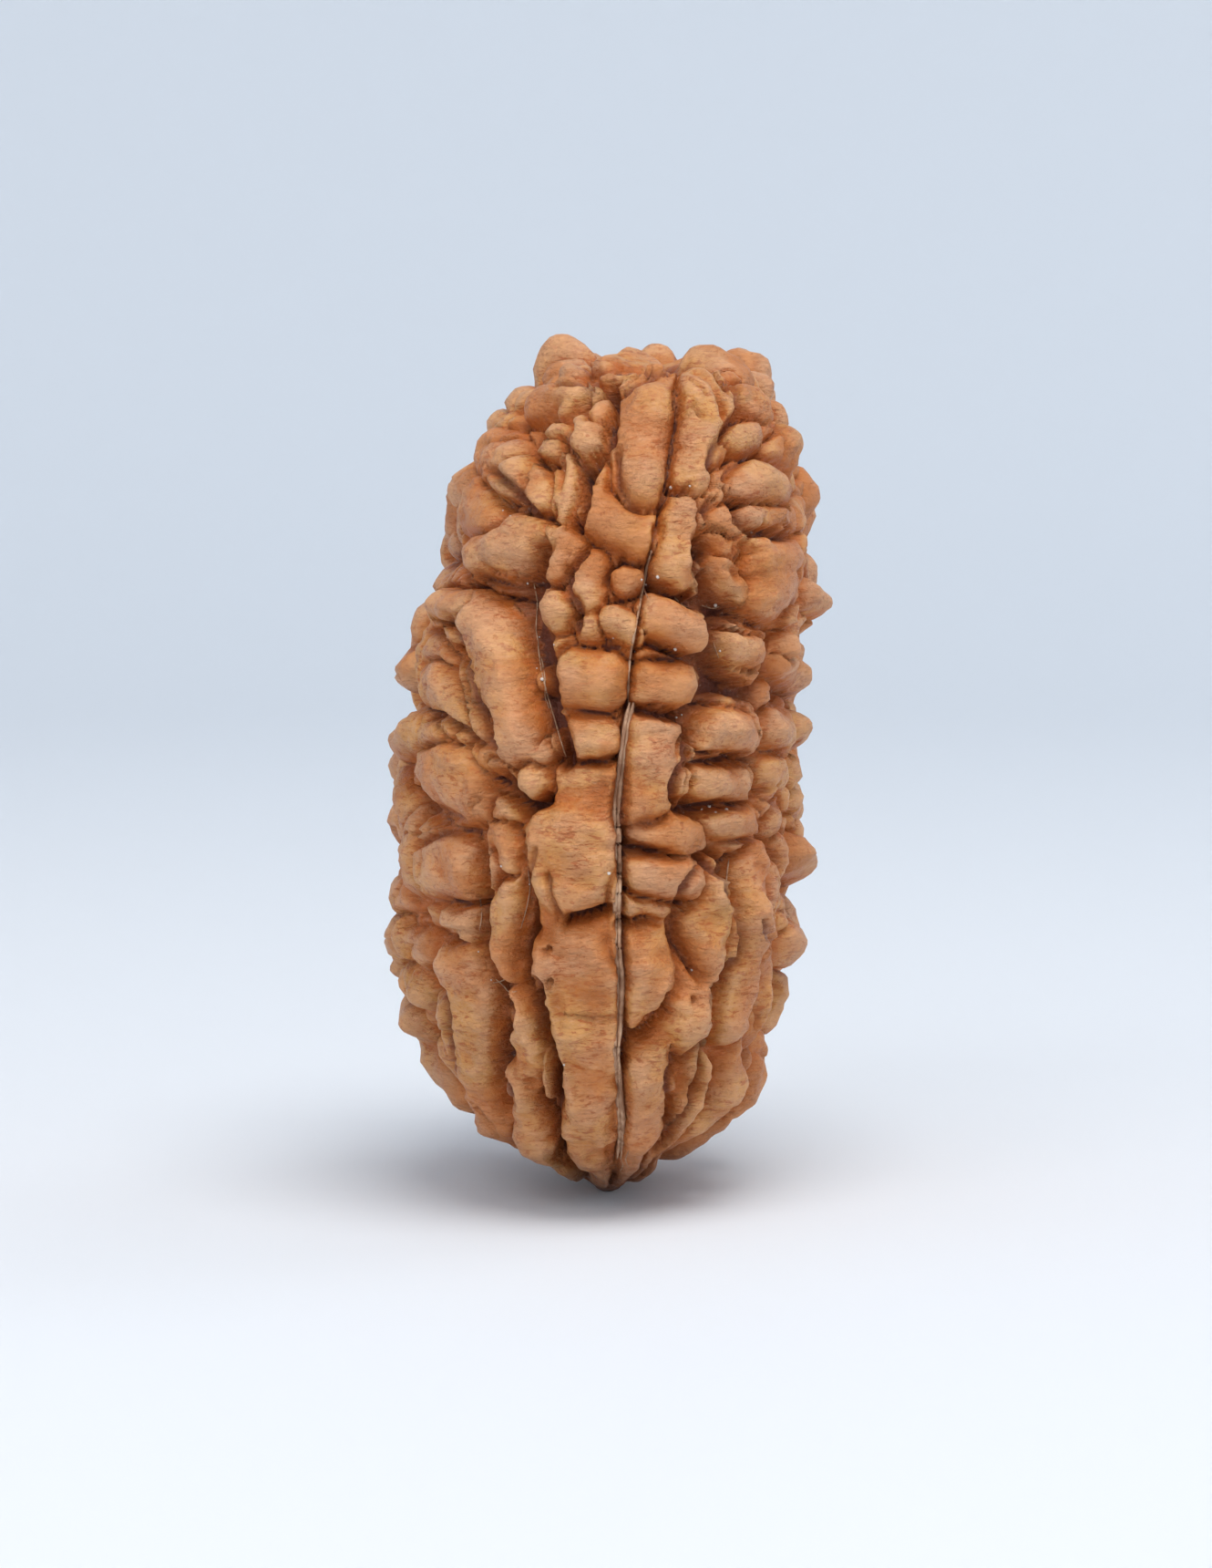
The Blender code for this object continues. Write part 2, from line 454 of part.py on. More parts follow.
def new_collection(name):
    collection = bpy.data.collections.new(name)
    bpy.context.scene.collection.children.link(collection)
    return collection


def move_to(thing, collection):
    for holder in list(thing.users_collection):
        holder.objects.unlink(thing)
    collection.objects.link(thing)


def main():
    for thing in list(bpy.data.objects):
        bpy.data.objects.remove(thing)
    parts = new_collection("rudraksha_bead")
    cutters = new_collection("cutters")
    bead = make_bead()
    move_to(bead, parts)
    bead.data.materials.append(make_material())
    cut_flat_spot(bead, cutters)


main()
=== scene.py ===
import math
import random

import bmesh
import bpy
import numpy as np
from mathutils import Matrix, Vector, noise
from mathutils.bvhtree import BVHTree
from mathutils.kdtree import KDTree


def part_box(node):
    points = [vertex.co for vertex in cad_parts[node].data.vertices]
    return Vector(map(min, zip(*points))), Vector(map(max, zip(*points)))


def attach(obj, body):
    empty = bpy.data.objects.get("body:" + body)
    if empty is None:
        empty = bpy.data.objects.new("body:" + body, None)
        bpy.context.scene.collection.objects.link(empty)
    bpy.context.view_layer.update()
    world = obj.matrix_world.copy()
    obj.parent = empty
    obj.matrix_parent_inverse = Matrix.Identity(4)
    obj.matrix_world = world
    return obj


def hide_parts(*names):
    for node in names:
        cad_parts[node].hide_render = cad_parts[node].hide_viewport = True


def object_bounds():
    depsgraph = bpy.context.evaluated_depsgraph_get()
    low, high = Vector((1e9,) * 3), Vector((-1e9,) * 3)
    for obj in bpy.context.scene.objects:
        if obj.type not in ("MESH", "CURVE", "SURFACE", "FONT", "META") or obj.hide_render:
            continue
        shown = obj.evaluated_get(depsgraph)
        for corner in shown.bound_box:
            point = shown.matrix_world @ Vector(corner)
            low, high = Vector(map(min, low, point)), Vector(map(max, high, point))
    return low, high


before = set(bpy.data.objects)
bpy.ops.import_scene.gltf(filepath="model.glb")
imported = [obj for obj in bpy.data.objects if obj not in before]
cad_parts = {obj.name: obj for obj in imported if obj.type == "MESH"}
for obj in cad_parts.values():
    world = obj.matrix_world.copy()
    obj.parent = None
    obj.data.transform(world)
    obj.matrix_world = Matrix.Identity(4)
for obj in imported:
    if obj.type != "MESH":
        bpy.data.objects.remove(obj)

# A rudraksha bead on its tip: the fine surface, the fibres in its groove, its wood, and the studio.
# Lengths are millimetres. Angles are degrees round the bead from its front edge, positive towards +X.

mm = 0.001
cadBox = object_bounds()
beadLow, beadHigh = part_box("bead")
print("frame loaded, bead", [round(size / mm, 1) for size in beadHigh - beadLow])

# The crevice floor and its relief, as in the part's own source
beadForm = {
    "floorBottom": 0.2, "floorTop": 24.0,
    "floorHalfX": 4.92, "floorHalfY": 8.7,
    "topFullness": 2.6, "bottomFullness": 2.15,      # 2 is an ellipse, more is squarer
    "tipNarrowing": 0.66, "tipShare": 0.24,
    "axisZ": (0.0, 1.6, 5.0, 11.0, 14.5, 17.5, 21.0, 25.0),
    "axisX": (0.1, -0.25, -0.3, -0.45, -0.15, 0.35, 0.85, 1.65),
    "axisRounding": 1.2,
    "meanRise": 0.9,
    "lobeSpread": 1.36,
    "domePower": 2.35, "domeRound": 0.58,
    "padPower": 4.0, "padRound": 0.5,
    "creaseCut": 0.62, "creaseWidth": 0.22, "creaseFade": 2.5, "deepestCut": 0.85, "furrowPower": 1.2,
    "asideFrom": -6, "asideOver": 3,      # where the front edge ends and over what length
    "lowFloorRise": 0.55, "lowFloorTop": 11.5, "lowFloorFull": 8.5, "lowFloorAside": 0.45,
    "wobble": 0.25, "wobbleSize": 1.4,
    "roughness": 0.05, "roughnessSize": 0.8,
    "swell": 0.17, "swellSize": 1.5,
    "veinDepth": 0.22, "veinSize": 1.9, "veinWidth": 0.07,
    "strokeStep": 0.18,
    "tipRise": 0.8, "tipTaper": 1.6,
    "growthSeed": 27, "growthStep": 0.55, "turn": 24, "leastGap": 0.8,
    "growthZ": (0.7, 24.85), "growthEnds": (0.5, 24.87), "growthVary": (0.84, 1.08), "leastShare": 0.9,
    "uprightBelow": 10.5, "crownAbove": 24.3, "crownRise": 0.65,
    "upperHeading": (0, 35), "lowerHeading": (-90, 15),      # the mean and the spread of their headings
    # winding lobes: tries, least angle from the front edge, ranges of half width, steps and rise
    "growth": [(900, 96, (0.78, 1.0), (3, 8), (1.2, 1.45)),
               (3000, 93, (0.6, 0.8), (1, 4), (1.1, 1.35)),
               (7000, 55, (0.42, 0.58), (0, 2), (0.8, 1.05))],
}

# What only the fine surface has
fineForm = {
    "sphereDivisions": 8,
    "triangles": 194000, "frontKeep": 0.0012, "frontReach": 2.5,      # the front keeps more of them
    "edgeWander": 0.12, "edgeWanderSize": 0.6,
    "knobbles": 0.24, "knobbleSize": 1.1, "pimples": 0.09, "pimpleSize": 0.42,
    "wrinkles": 0.07, "wrinkleLength": 1.0, "wrinkleHeight": 0.24,
    "creaseVary": 0.9, "creaseVarySize": 2.4, "creaseRange": (0.1, 1.5),      # some fade, some deepen
    "veinTop": 22.5,
    # the tip is drawn down to a blunt cone: its flat half width, slope, reach, depth share and sink
    "tipFlat": 0.6, "tipSlope": 0.48, "tipReach": 2.7, "tipFull": 0.7, "tipDeepness": 1.8, "tipSink": 0.12,
    # its width as a share of the relief's, on each side of its middle, by height as the camera sees it
    "tipMiddle": -0.07, "tipLean": 0.105,
    "tipLeft": [(0, 0.45), (0.6, 0.6), (1.1, 0.82), (1.7, 0.9), (2.2, 0.86), (2.7, 0.9), (3.6, 1)],
    "tipRight": [(0, 0.5), (0.6, 0.74), (1.1, 0.76), (1.7, 0.92), (2.5, 1)],
    "crownDip": 0.35, "crownDipMiddle": 1.2, "crownDipHalf": 1.9, "crownDipFrom": 23.6,
    # the photograph's creases, valleys and lobes: deepness is how much distances along the view count
    # creaseDark and valleyDark shape the painted shade that these creases and valleys are given
    "creaseDepth": 0.34, "creaseHalf": 0.16, "creasePower": 1.5, "creaseDark": 0.7, "lineDeepness": 0.15,
    "valleyPower": 1.5, "valleyDark": 0.5, "valleyDeepness": 0.5, "cutBelow": 0.25,
    "lobePower": 2.6, "lobeRound": 0.5, "lobeCut": 0.5, "lobeCutWidth": 0.14, "lobeDeepness": 0.3,
    "lobePull": 0.9, "lobeReach": 1.25, "lobeFloor": 0.35, "lobeWiden": 1.14,
    "roundPasses": 14, "roundLeave": 0.07, "roundGrow": 1.05,
    "facingFrom": 0.1, "facingFull": 0.42, "pixelStep": 3,
    "hollowPasses": 40, "valuePasses": 2,
}

view = {
    "imageWidth": 1330, "imageHeight": 1720,         # the photograph's frame, in pixels
    "lens": 150, "sensor": 36,
    "elevation": 6, "distance": 192.65,
    "target": (-0.069, 0, 11.92),
}

# Lobes of the front edge and its flanks: rise, then points of (angle, z, half width)
crownLobes = [
    (1.1, [(-11, 24.15, .4), (-20, 23.6, .5), (-25, 23, .5), (-24, 22.4, .65)]),
    (1.2, [(-42, 23.5, .6), (-62, 23.3, .75)]),
    (1.2, [(-84, 23.1, .75), (-98, 23.2, .7)]),
    (1.2, [(-82, 22.5, .6), (-95, 22.4, .6)]),
    (1.3, [(-60, 21.9, .7), (-80, 21.8, .7)]),
    (1.1, [(-42, 22.9, .5), (-38, 22.1, .5)]),
    (0.9, [(-35, 22.6, .3), (-30, 22, .3), (-26, 21.3, .3), (-23, 20.6, .3), (-23, 20, .3)]),
    (1.0, [(11, 24.2, .25), (15, 23.7, .4), (17, 23.25, .3)]),
    (1.3, [(20, 24.1, .3), (27, 23.6, .5), (31, 23.1, .55), (28, 22.6, .5)]),
    (1.3, [(36, 24, .45), (49, 23.5, .55), (59, 23.1, .55)]),
    (1.1, [(44, 22.7, .7), (40, 22.2, .6)]),
    (1.15, [(58, 22.2, .6), (72, 21.9, .75)]),
    (1.74, [(-115, 23.9, 1.05)]),
    (1.35, [(-101, 23.95, .75)]),
    (1.76, [(123, 23.9, 0.82)]),
    (1.2, [(104, 23.7, .65)]),
]
leftUpperLobes = [
    (1.3, [(-47, 21.3, .7), (-36, 20.6, .7)]),
    (1.0, [(-62, 21.3, .35), (-42, 20.5, .35)]),
    (1.35, [(-66, 20.3, .85), (-58, 19.8, .95), (-45, 19.4, .95), (-36, 19.4, .8)]),
    (1.35, [(-82, 20.9, .8), (-90, 20.8, .7)]),
    (0.8, [(-47, 18.7, .36), (-33, 18.4, .36)]),
    (1.1, [(-21, 19.6, .45), (-24, 18.9, .48)]),
    (0.85, [(-21, 17.7, .42)]),
    (1.55, [(-63, 17.4, .5), (-54, 17.5, .6), (-46, 17.4, .75), (-40, 16.9, .82), (-34, 15.7, .8),
        (-29, 15.0, .75), (-26, 14.4, .7), (-22.4, 13.1, .62)]),
    (1.35, [(-70, 15.8, .85), (-58, 15.3, .95), (-44, 14.4, .7)]),
    (1.3, [(-84, 16.7, .7), (-94, 16.9, .6)]),
    (1.5, [(-64, 13.9, .68), (-86, 13.2, .6)]),
    (1.5, [(-52, 13.2, 1.1), (-42, 12.6, 1.1)]),
    (1.1, [(-82, 12.2, .8), (-72, 11.3, .8)]),
    (1.1, [(-34, 12.1, .5), (-22, 12, .5)]),
]
rightUpperLobes = [
    (1.4, [(24, 20.3, .5), (38, 20.2, .55)]),
    (0.8, [(26, 19.6, .5), (34, 19.5, .4)]),
    (1.2, [(22, 18.8, .5), (30, 18.5, .5), (37, 18.2, .4)]),
    (1.35, [(37, 21.2, .75), (50, 21, .7), (60, 20.6, .6)]),
    (1.2, [(45, 20.2, .5), (60, 20.1, .5)]),
    (1.0, [(78, 20.1, .6), (86, 19.8, .65)]),
    (1.3, [(48, 19.2, .8), (60, 19, .8)]),
    (0.9, [(78, 18.9, .7), (84, 18.4, .6)]),
    (1.3, [(45, 18.2, .8), (62, 17.8, .8)]),
    (1.4, [(79, 17.7, .5), (89, 17.2, .45)]),
    (1.5, [(38, 16.8, .6), (48, 16.3, .65)]),
    (1.3, [(60, 16.1, .6), (74, 15.5, .55), (86, 15.05, .42)]),
    (1.35, [(30, 14.5, .7), (38, 14.3, .8), (46, 14.15, .7)]),
    (1.3, [(31, 12.85, .6), (40, 12.8, .65), (49, 12.6, .55)]),
    (1.35, [(60, 14.0, .7), (68, 13.8, .8)]),
    (1.2, [(79, 13.8, .6), (87, 13.3, .65)]),
    (1.15, [(58, 12.9, .6), (66, 12.7, .7)]),
    (1.15, [(79, 12.4, .7)]),
    (1.35, [(80, 11.7, .5), (89, 11.3, .45)]),
    (0.9, [(33, 11.9, .5), (42, 11.6, .7), (47, 11.0, .7)]),
]
# The raised band along both sides of the front groove, and the broad flat pads that stand on it
grooveBand = [
    (0.95, [(-2, 23.6, .7), (-2.3, 22.9, .85), (-2.8, 21.2, .9), (-5.4, 19.8, 1.0), (-5, 18.1, .95),
        (-6.7, 15.9, 1.15), (-3.7, 14.1, .9), (-6.2, 12.4, 1.1), (-7.5, 10.2, 1.2), (-5.3, 8.05, 1.05),
        (-7.1, 6.1, 1.15), (-4.7, 3.6, .92), (-5, 1.2, .7)]),
    (0.95, [(18.7, 22.9, .6), (16.5, 21.2, .65), (14.1, 19.8, .7), (12.2, 18.1, .6), (13.8, 15.9, .85),
        (13.7, 14.1, .9), (13.3, 12.4, .9), (15.8, 10.2, 1.1), (14.2, 8.05, .9), (17.5, 6.1, 1.0),
        (18.5, 3.6, .95), (19.4, 1.2, .6)]),
]
groovePads = [
    (1.3, [(3, 24.2, .35), (-1, 23.6, .7), (-2, 23, .9), (0, 22, .95), (0, 21.6, .95), (1, 21.15, .85)]),
    (1.2, [(-10, 20.3, .62), (1, 20.3, .65)]),
    (1.15, [(-11, 19.2, .55), (0, 19.3, .52)]),
    (1.2, [(-8, 18.4, .55), (1, 18.45, .52)]),
    (1.15, [(-9, 17.35, .52), (1, 17.45, .54)]),
    (1.3, [(-13, 16.3, .65), (1, 16.2, .74)]),
    (1.3, [(-6, 14.5, .8), (0, 14.45, .8)]),
    (1.25, [(-11, 12.75, .7), (0, 12.75, .72)]),
    (1.3, [(-6, 12.2, 1.15), (-7.5, 11.4, 1.3), (-8, 10.6, 1.25)]),
    (1.3, [(-8, 7.8, 1.2), (-8.5, 7.3, 1.3), (-7, 6.4, 1.15), (-4.5, 5.2, .95), (-3.5, 4.2, .9),
        (-5, 3.2, .95), (-7, 2.2, .9), (-7, 1.4, .75), (-5, 0.8, .55)]),
    (1.3, [(16, 23, .45), (18, 22.3, .72), (17.5, 21.8, .75), (16, 21.3, .65)]),
    (1.25, [(20, 20.8, .55), (15, 20.3, .7), (13.5, 19.5, .75), (14.5, 18.95, .74)]),
    (1.4, [(9, 17.7, .6), (17, 17.45, .68), (26, 17.2, .52)]),
    (1.3, [(11, 15.75, .66), (18, 15.7, .67)]),
    (1.35, [(12, 14.0, .84), (15, 13.75, .85), (12.5, 12.8, .8), (13, 12, .8), (15, 11.8, .65),
        (23, 11.5, .64)]),
    (1.35, [(12, 10.1, .83), (18, 10.1, .85), (24, 10.0, .72)]),
    (1.25, [(13.5, 8.1, .8), (15, 7.6, .85), (15, 7.1, .8)]),
    (1.3, [(16, 4.7, .8), (17, 4.2, .97), (17.5, 3.2, .97), (17.5, 2.3, .8), (17, 1.5, .6),
        (16, 0.9, .45)]),
]
lowerRidges = [
    (1.35, [(-45, 10.4, 1.05), (-44, 9.6, 1.05), (-44, 8.9, .95)]),
    (1.3, [(-66, 10.8, .7), (-64, 9.9, .8), (-74, 8.95, .7), (-88, 8.6, .6)]),
    (1.5, [(-62, 7.8, .7), (-72, 7.7, .8)]),
    (1.65, [(-84, 7.5, .8), (-92, 7.3, .75), (-88, 6.6, .7)]),
    (1.35, [(-48, 7.6, .9), (-47, 7, 1.3), (-47, 6, 1.5), (-48, 5, 1.4), (-51, 4, 1.2), (-55, 3.2, 1.0),
        (-58, 2.4, .8), (-60, 1.6, .6)]),
    (1.5, [(-68, 6.4, .7), (-84, 6.2, .7)]),
    (1.75, [(-86, 5.2, .9), (-92, 4.6, 1.1), (-90, 3.8, 1.0), (-85, 3.1, .8)]),
    (1.0, [(-78, 2.2, .6), (-62, 1.8, .5)]),
    (1.25, [(-26, 11.3, .6), (-26, 10, .8), (-26, 9, .75), (-27, 8, .7), (-28, 7.4, .5)]),
    (1.3, [(-26, 6.5, .5), (-26, 6, .9), (-26, 5, 1.0), (-29, 4, 1.0), (-32, 3.2, .9), (-35, 2.4, .75),
        (-38, 1.6, .6), (-38, 0.9, .5)]),
    (1.15, [(-17, 4.9, .4), (-18, 4.2, .5), (-18, 3.4, .45), (-20, 2.4, .4), (-24, 1.4, .4)]),
    (1.3, [(35, 9.9, .6), (35, 9, 1.0), (34, 8, 1.0), (32, 7, .95), (30, 6.1, .95), (29, 5.2, .8)]),
    (1.25, [(35, 5.2, .6), (34, 4.4, .8), (33, 3.6, .8), (33, 2.8, .65), (32, 1.8, .55), (30, 1.0, .45)]),
    (1.3, [(50, 10.2, .8), (51, 9, 1.1), (51, 8, 1.1), (49, 7.2, 1.0), (47, 6.4, .9), (46, 5.6, .8)]),
    (1.15, [(64, 9.4, .8), (66, 8.6, .8), (63, 7.2, .9), (60, 6.2, .9), (60, 5.4, .8)]),
    (1.6, [(80, 10.0, .6), (89, 9.5, .6)]),
    (1.6, [(78, 7.3, .7), (88, 7.25, .75)]),
    (1.25, [(84, 5.9, .8), (84, 5.2, .7)]),
    (1.25, [(50, 4.7, .7), (52, 3.8, .9), (50, 3, .85), (48, 2.2, .7), (46, 1.4, .55), (44, 0.8, .4)]),
    (1.25, [(74, 4.1, .9), (76, 3.2, .85), (72, 2.3, .75), (68, 1.5, .6)]),
]

# Furrows and pits cut into the lobes: depth, then points of (angle, z, half width)
furrows = [
    (1.2, [(-31, 19.3, .25), (-29, 18, .35), (-25, 17.2, .4), (-20.5, 16, .45), (-14.5, 14.6, .4),
        (-9.5, 13.6, .3)]),
    (1.1, [(27, 19.4, .3), (26.5, 18.2, .4), (30, 17.2, .5), (29, 15.7, .55), (26, 14.7, .4),
        (24.5, 13.4, .5), (25, 12.3, .4)]),
    (0.7, [(-30, 24, .25), (-31, 23.2, .35), (-30, 22.4, .35)]),
    (0.8, [(-13, 23.6, .25), (-15, 22.6, .35), (-15.5, 21.4, .35), (-15, 20.6, .35)]),
    (0.8, [(-48, 19.0, .25), (-40, 18.55, .35), (-28, 18.3, .4)]),
    (0.9, [(-38, 13.9, .35), (-31, 13.0, .4), (-24, 12.2, .45), (-20, 12.1, .35)]),
    (0.9, [(-52, 16.5, .3), (-44, 16.0, .4), (-40, 15.0, .4), (-34.5, 13.8, .4)]),
    (1.0, [(-62, 11.9, .4), (-52, 11.6, .4), (-40, 11.5, .35), (-31, 11.3, .35)]),
    (1.5, [(-72, 14.2, .5), (-84, 14.2, .75), (-98, 14.2, .8), (-110, 14.2, .6)]),
    (1.2, [(-72, 18.8, .4), (-84, 18.6, .65), (-98, 18.5, .7), (-110, 18.5, .5)]),
    (0.9, [(76, 16.3, .35), (90, 16.2, .5), (104, 16.2, .4)]),
    (0.9, [(76, 14.45, .35), (90, 14.4, .45), (104, 14.4, .4)]),
    (0.7, [(78, 12.95, .3), (90, 12.9, .4), (102, 12.9, .35)]),
    (0.9, [(78, 8.9, .35), (92, 8.85, .5), (104, 8.8, .4)]),
    (0.9, [(-18, 11.1, .25), (-19, 10.5, .4), (-19.5, 9.2, .4), (-20, 8.5, .4), (-22, 7.6, .35),
        (-24, 7.0, .3)]),
    (1.0, [(-33.5, 11, .3), (-33, 10, .45), (-34, 9, .45), (-35, 8.2, .5), (-32, 7.4, .45), (-30, 6.8, .4),
        (-31, 6, .35), (-33, 5.2, .4), (-36, 4.6, .4), (-41, 3.9, .35), (-46, 3.1, .3)]),
    (0.8, [(-21, 6.7, .4), (-17, 6.1, .45), (-16, 5.5, .35), (-14, 5.1, .35), (-13.5, 4.3, .35),
        (-13.5, 3.4, .3)]),
    (0.8, [(-24, 4.2, .3), (-23, 3.5, .4), (-22, 2.7, .35), (-23, 2.0, .4), (-26, 1.5, .35)]),
    (0.7, [(-7, 9.0, .25), (-3, 9.15, .35), (3, 9.35, .35)]),
    (0.9, [(8, 11.15, .3), (14, 11.1, .38), (19, 11.1, .3)]),
    (0.8, [(9, 8.95, .3), (14, 8.9, .4), (19, 9.0, .35)]),
    (0.7, [(24, 9.4, .35), (24, 8.7, .4), (26, 8.1, .4), (28, 7.5, .35), (29, 7.2, .3)]),
    (0.75, [(22, 6.4, .3), (19, 6.0, .4), (14, 5.6, .4), (11, 5.4, .3)]),
    (0.85, [(38, 7.2, .4), (39, 6.6, .4)]),
    (0.85, [(40, 5.0, .3), (40, 4.3, .4), (42, 3.6, .35), (40, 3.0, .4), (36, 2.6, .45), (31, 2.1, .35)]),
    (0.6, [(28, 3.3, .25), (27.5, 2.6, .35), (28, 2.0, .3)]),
    (0.8, [(-63, 6.8, .4), (-63, 6, .4), (-66, 5.2, .5), (-68, 4.4, .4)]),
    (0.7, [(-72, 8.2, .3), (-56, 8.2, .3), (-42, 8.2, .3)]),
    (0.8, [(68, 8.5, .35), (69, 7.7, .35)]),
    (0.6, [(32.5, 6.35, .3)]),
    (0.5, [(26.5, 5.05, .28)]),
    (0.4, [(-13.5, 8.15, .2)]),
    (0.4, [(-13.5, 7.2, .22)]),
    (0.7, [(-2, 16.75, .3), (4, 16.75, .3)]),
    (0.5, [(-14, 19.7, .25)]),
]
rearGroove = (0.8, [(180, 24.2, .3), (178, 21, .36), (181, 17, .38), (179, 12, .38), (180, 7, .38),
                     (179, 3, .36), (180, 1.2, .3)])

# Lobes of the front edge as the photograph shows them, which the relief is drawn towards: rise and
# half width in millimetres, then the pixels along the middle
photoLobes = {
    "crown": [
        (1.5, 0.72, [(622, 394)]),
        (1.2, 0.42, [(594, 411)]),
        (1.15, 0.42, [(668, 424), (694, 404)]),
        (1.1, 0.36, [(659, 424), (655, 448)]),
        (1.35, 0.62, [(640, 424), (600, 436), (566, 450), (552, 478)]),
        (1.35, 0.85, [(715, 416), (708, 450), (703, 480), (704, 520), (707, 537)]),
        (1.35, 0.78, [(762, 428), (778, 458), (768, 492), (758, 520)]),
    ],
    "upper left": [
        (1.4, 0.76, [(547, 496), (558, 522)]),
        (1.3, 0.66, [(584, 528), (595, 548)]),
        (1.05, 0.4, [(599, 487)]),
        (1.4, 0.62, [(645, 482)]),
        (1.05, 0.38, [(634, 512), (626, 540), (616, 570)]),
        (0.95, 0.32, [(664, 503), (662, 540)]),
        (1.2, 0.9, [(515, 532), (530, 572)]),
        (1.4, 0.85, [(522, 602), (560, 592), (588, 592)]),
        (0.9, 0.42, [(540, 637), (572, 642)]),
        (1.3, 0.66, [(616, 600), (612, 616)]),
        (1.15, 0.5, [(608, 660), (609, 676)]),
        (1.25, 0.74, [(656, 562), (684, 574), (704, 584)]),
        (1.1, 0.55, [(645, 618), (640, 650)]),
        (1.15, 0.5, [(688, 634)]),
        (1.1, 0.5, [(645, 690)]),
        (1.25, 0.5, [(672, 680), (695, 690)]),
    ],
    "upper right": [
        (1.25, 0.6, [(818, 434), (836, 456)]),
        (1.15, 0.52, [(796, 482), (826, 477)]),
        (1.35, 0.65, [(816, 527), (860, 531)]),
        (1.3, 0.5, [(832, 563), (876, 571)]),
        (1.15, 0.5, [(776, 556), (821, 573)]),
        (0.9, 0.4, [(780, 592), (808, 606)]),
        (1.15, 0.46, [(770, 620), (811, 651)]),
        (1.3, 0.8, [(832, 606), (868, 622), (848, 652)]),
        (1.3, 0.68, [(746, 560), (744, 622)]),
        (1.15, 0.4, [(786, 520), (785, 548), (770, 568)]),
        (1.2, 0.5, [(802, 705), (846, 714)]),
        (1.2, 0.45, [(862, 735), (886, 742)]),
    ],
    "middle left": [
        (1.6, 0.55, [(468, 655), (500, 664)]),
        (1.55, 0.92, [(516, 680), (539, 705), (552, 742), (562, 784), (572, 815)]),
        (1.4, 0.55, [(577, 838), (582, 862)]),
        (1.2, 0.75, [(470, 696), (490, 716)]),
        (1.3, 0.85, [(472, 746), (500, 770), (520, 794)]),
        (1.4, 0.6, [(442, 805), (482, 800)]),
        (1.35, 1.1, [(474, 840), (502, 852), (520, 862)]),
        (1.2, 0.6, [(442, 872), (456, 900)]),
        (1.2, 0.45, [(542, 882), (562, 886)]),
        (1.2, 0.5, [(546, 912), (550, 944)]),
        (1.3, 1.0, [(462, 944), (500, 952)]),
        (1.3, 0.85, [(628, 742), (662, 746)]),
        (1.25, 0.62, [(626, 810), (662, 812)]),
    ],
    "middle right": [
        (1.45, 0.66, [(724, 672), (758, 688), (775, 702)]),
        (1.35, 0.62, [(712, 750), (748, 752)]),
        (1.35, 0.85, [(718, 802), (722, 850), (714, 892)]),
        (1.3, 0.68, [(714, 908), (750, 918)]),
        (1.3, 0.7, [(716, 960), (758, 966)]),
        (1.3, 0.68, [(777, 800), (820, 806)]),
        (1.25, 0.5, [(772, 858), (824, 862)]),
        (1.2, 0.6, [(852, 800), (880, 800)]),
        (1.2, 0.6, [(852, 852), (878, 860)]),
        (1.15, 0.5, [(792, 902), (824, 900)]),
        (1.2, 0.7, [(852, 912), (878, 935)]),
    ],
}

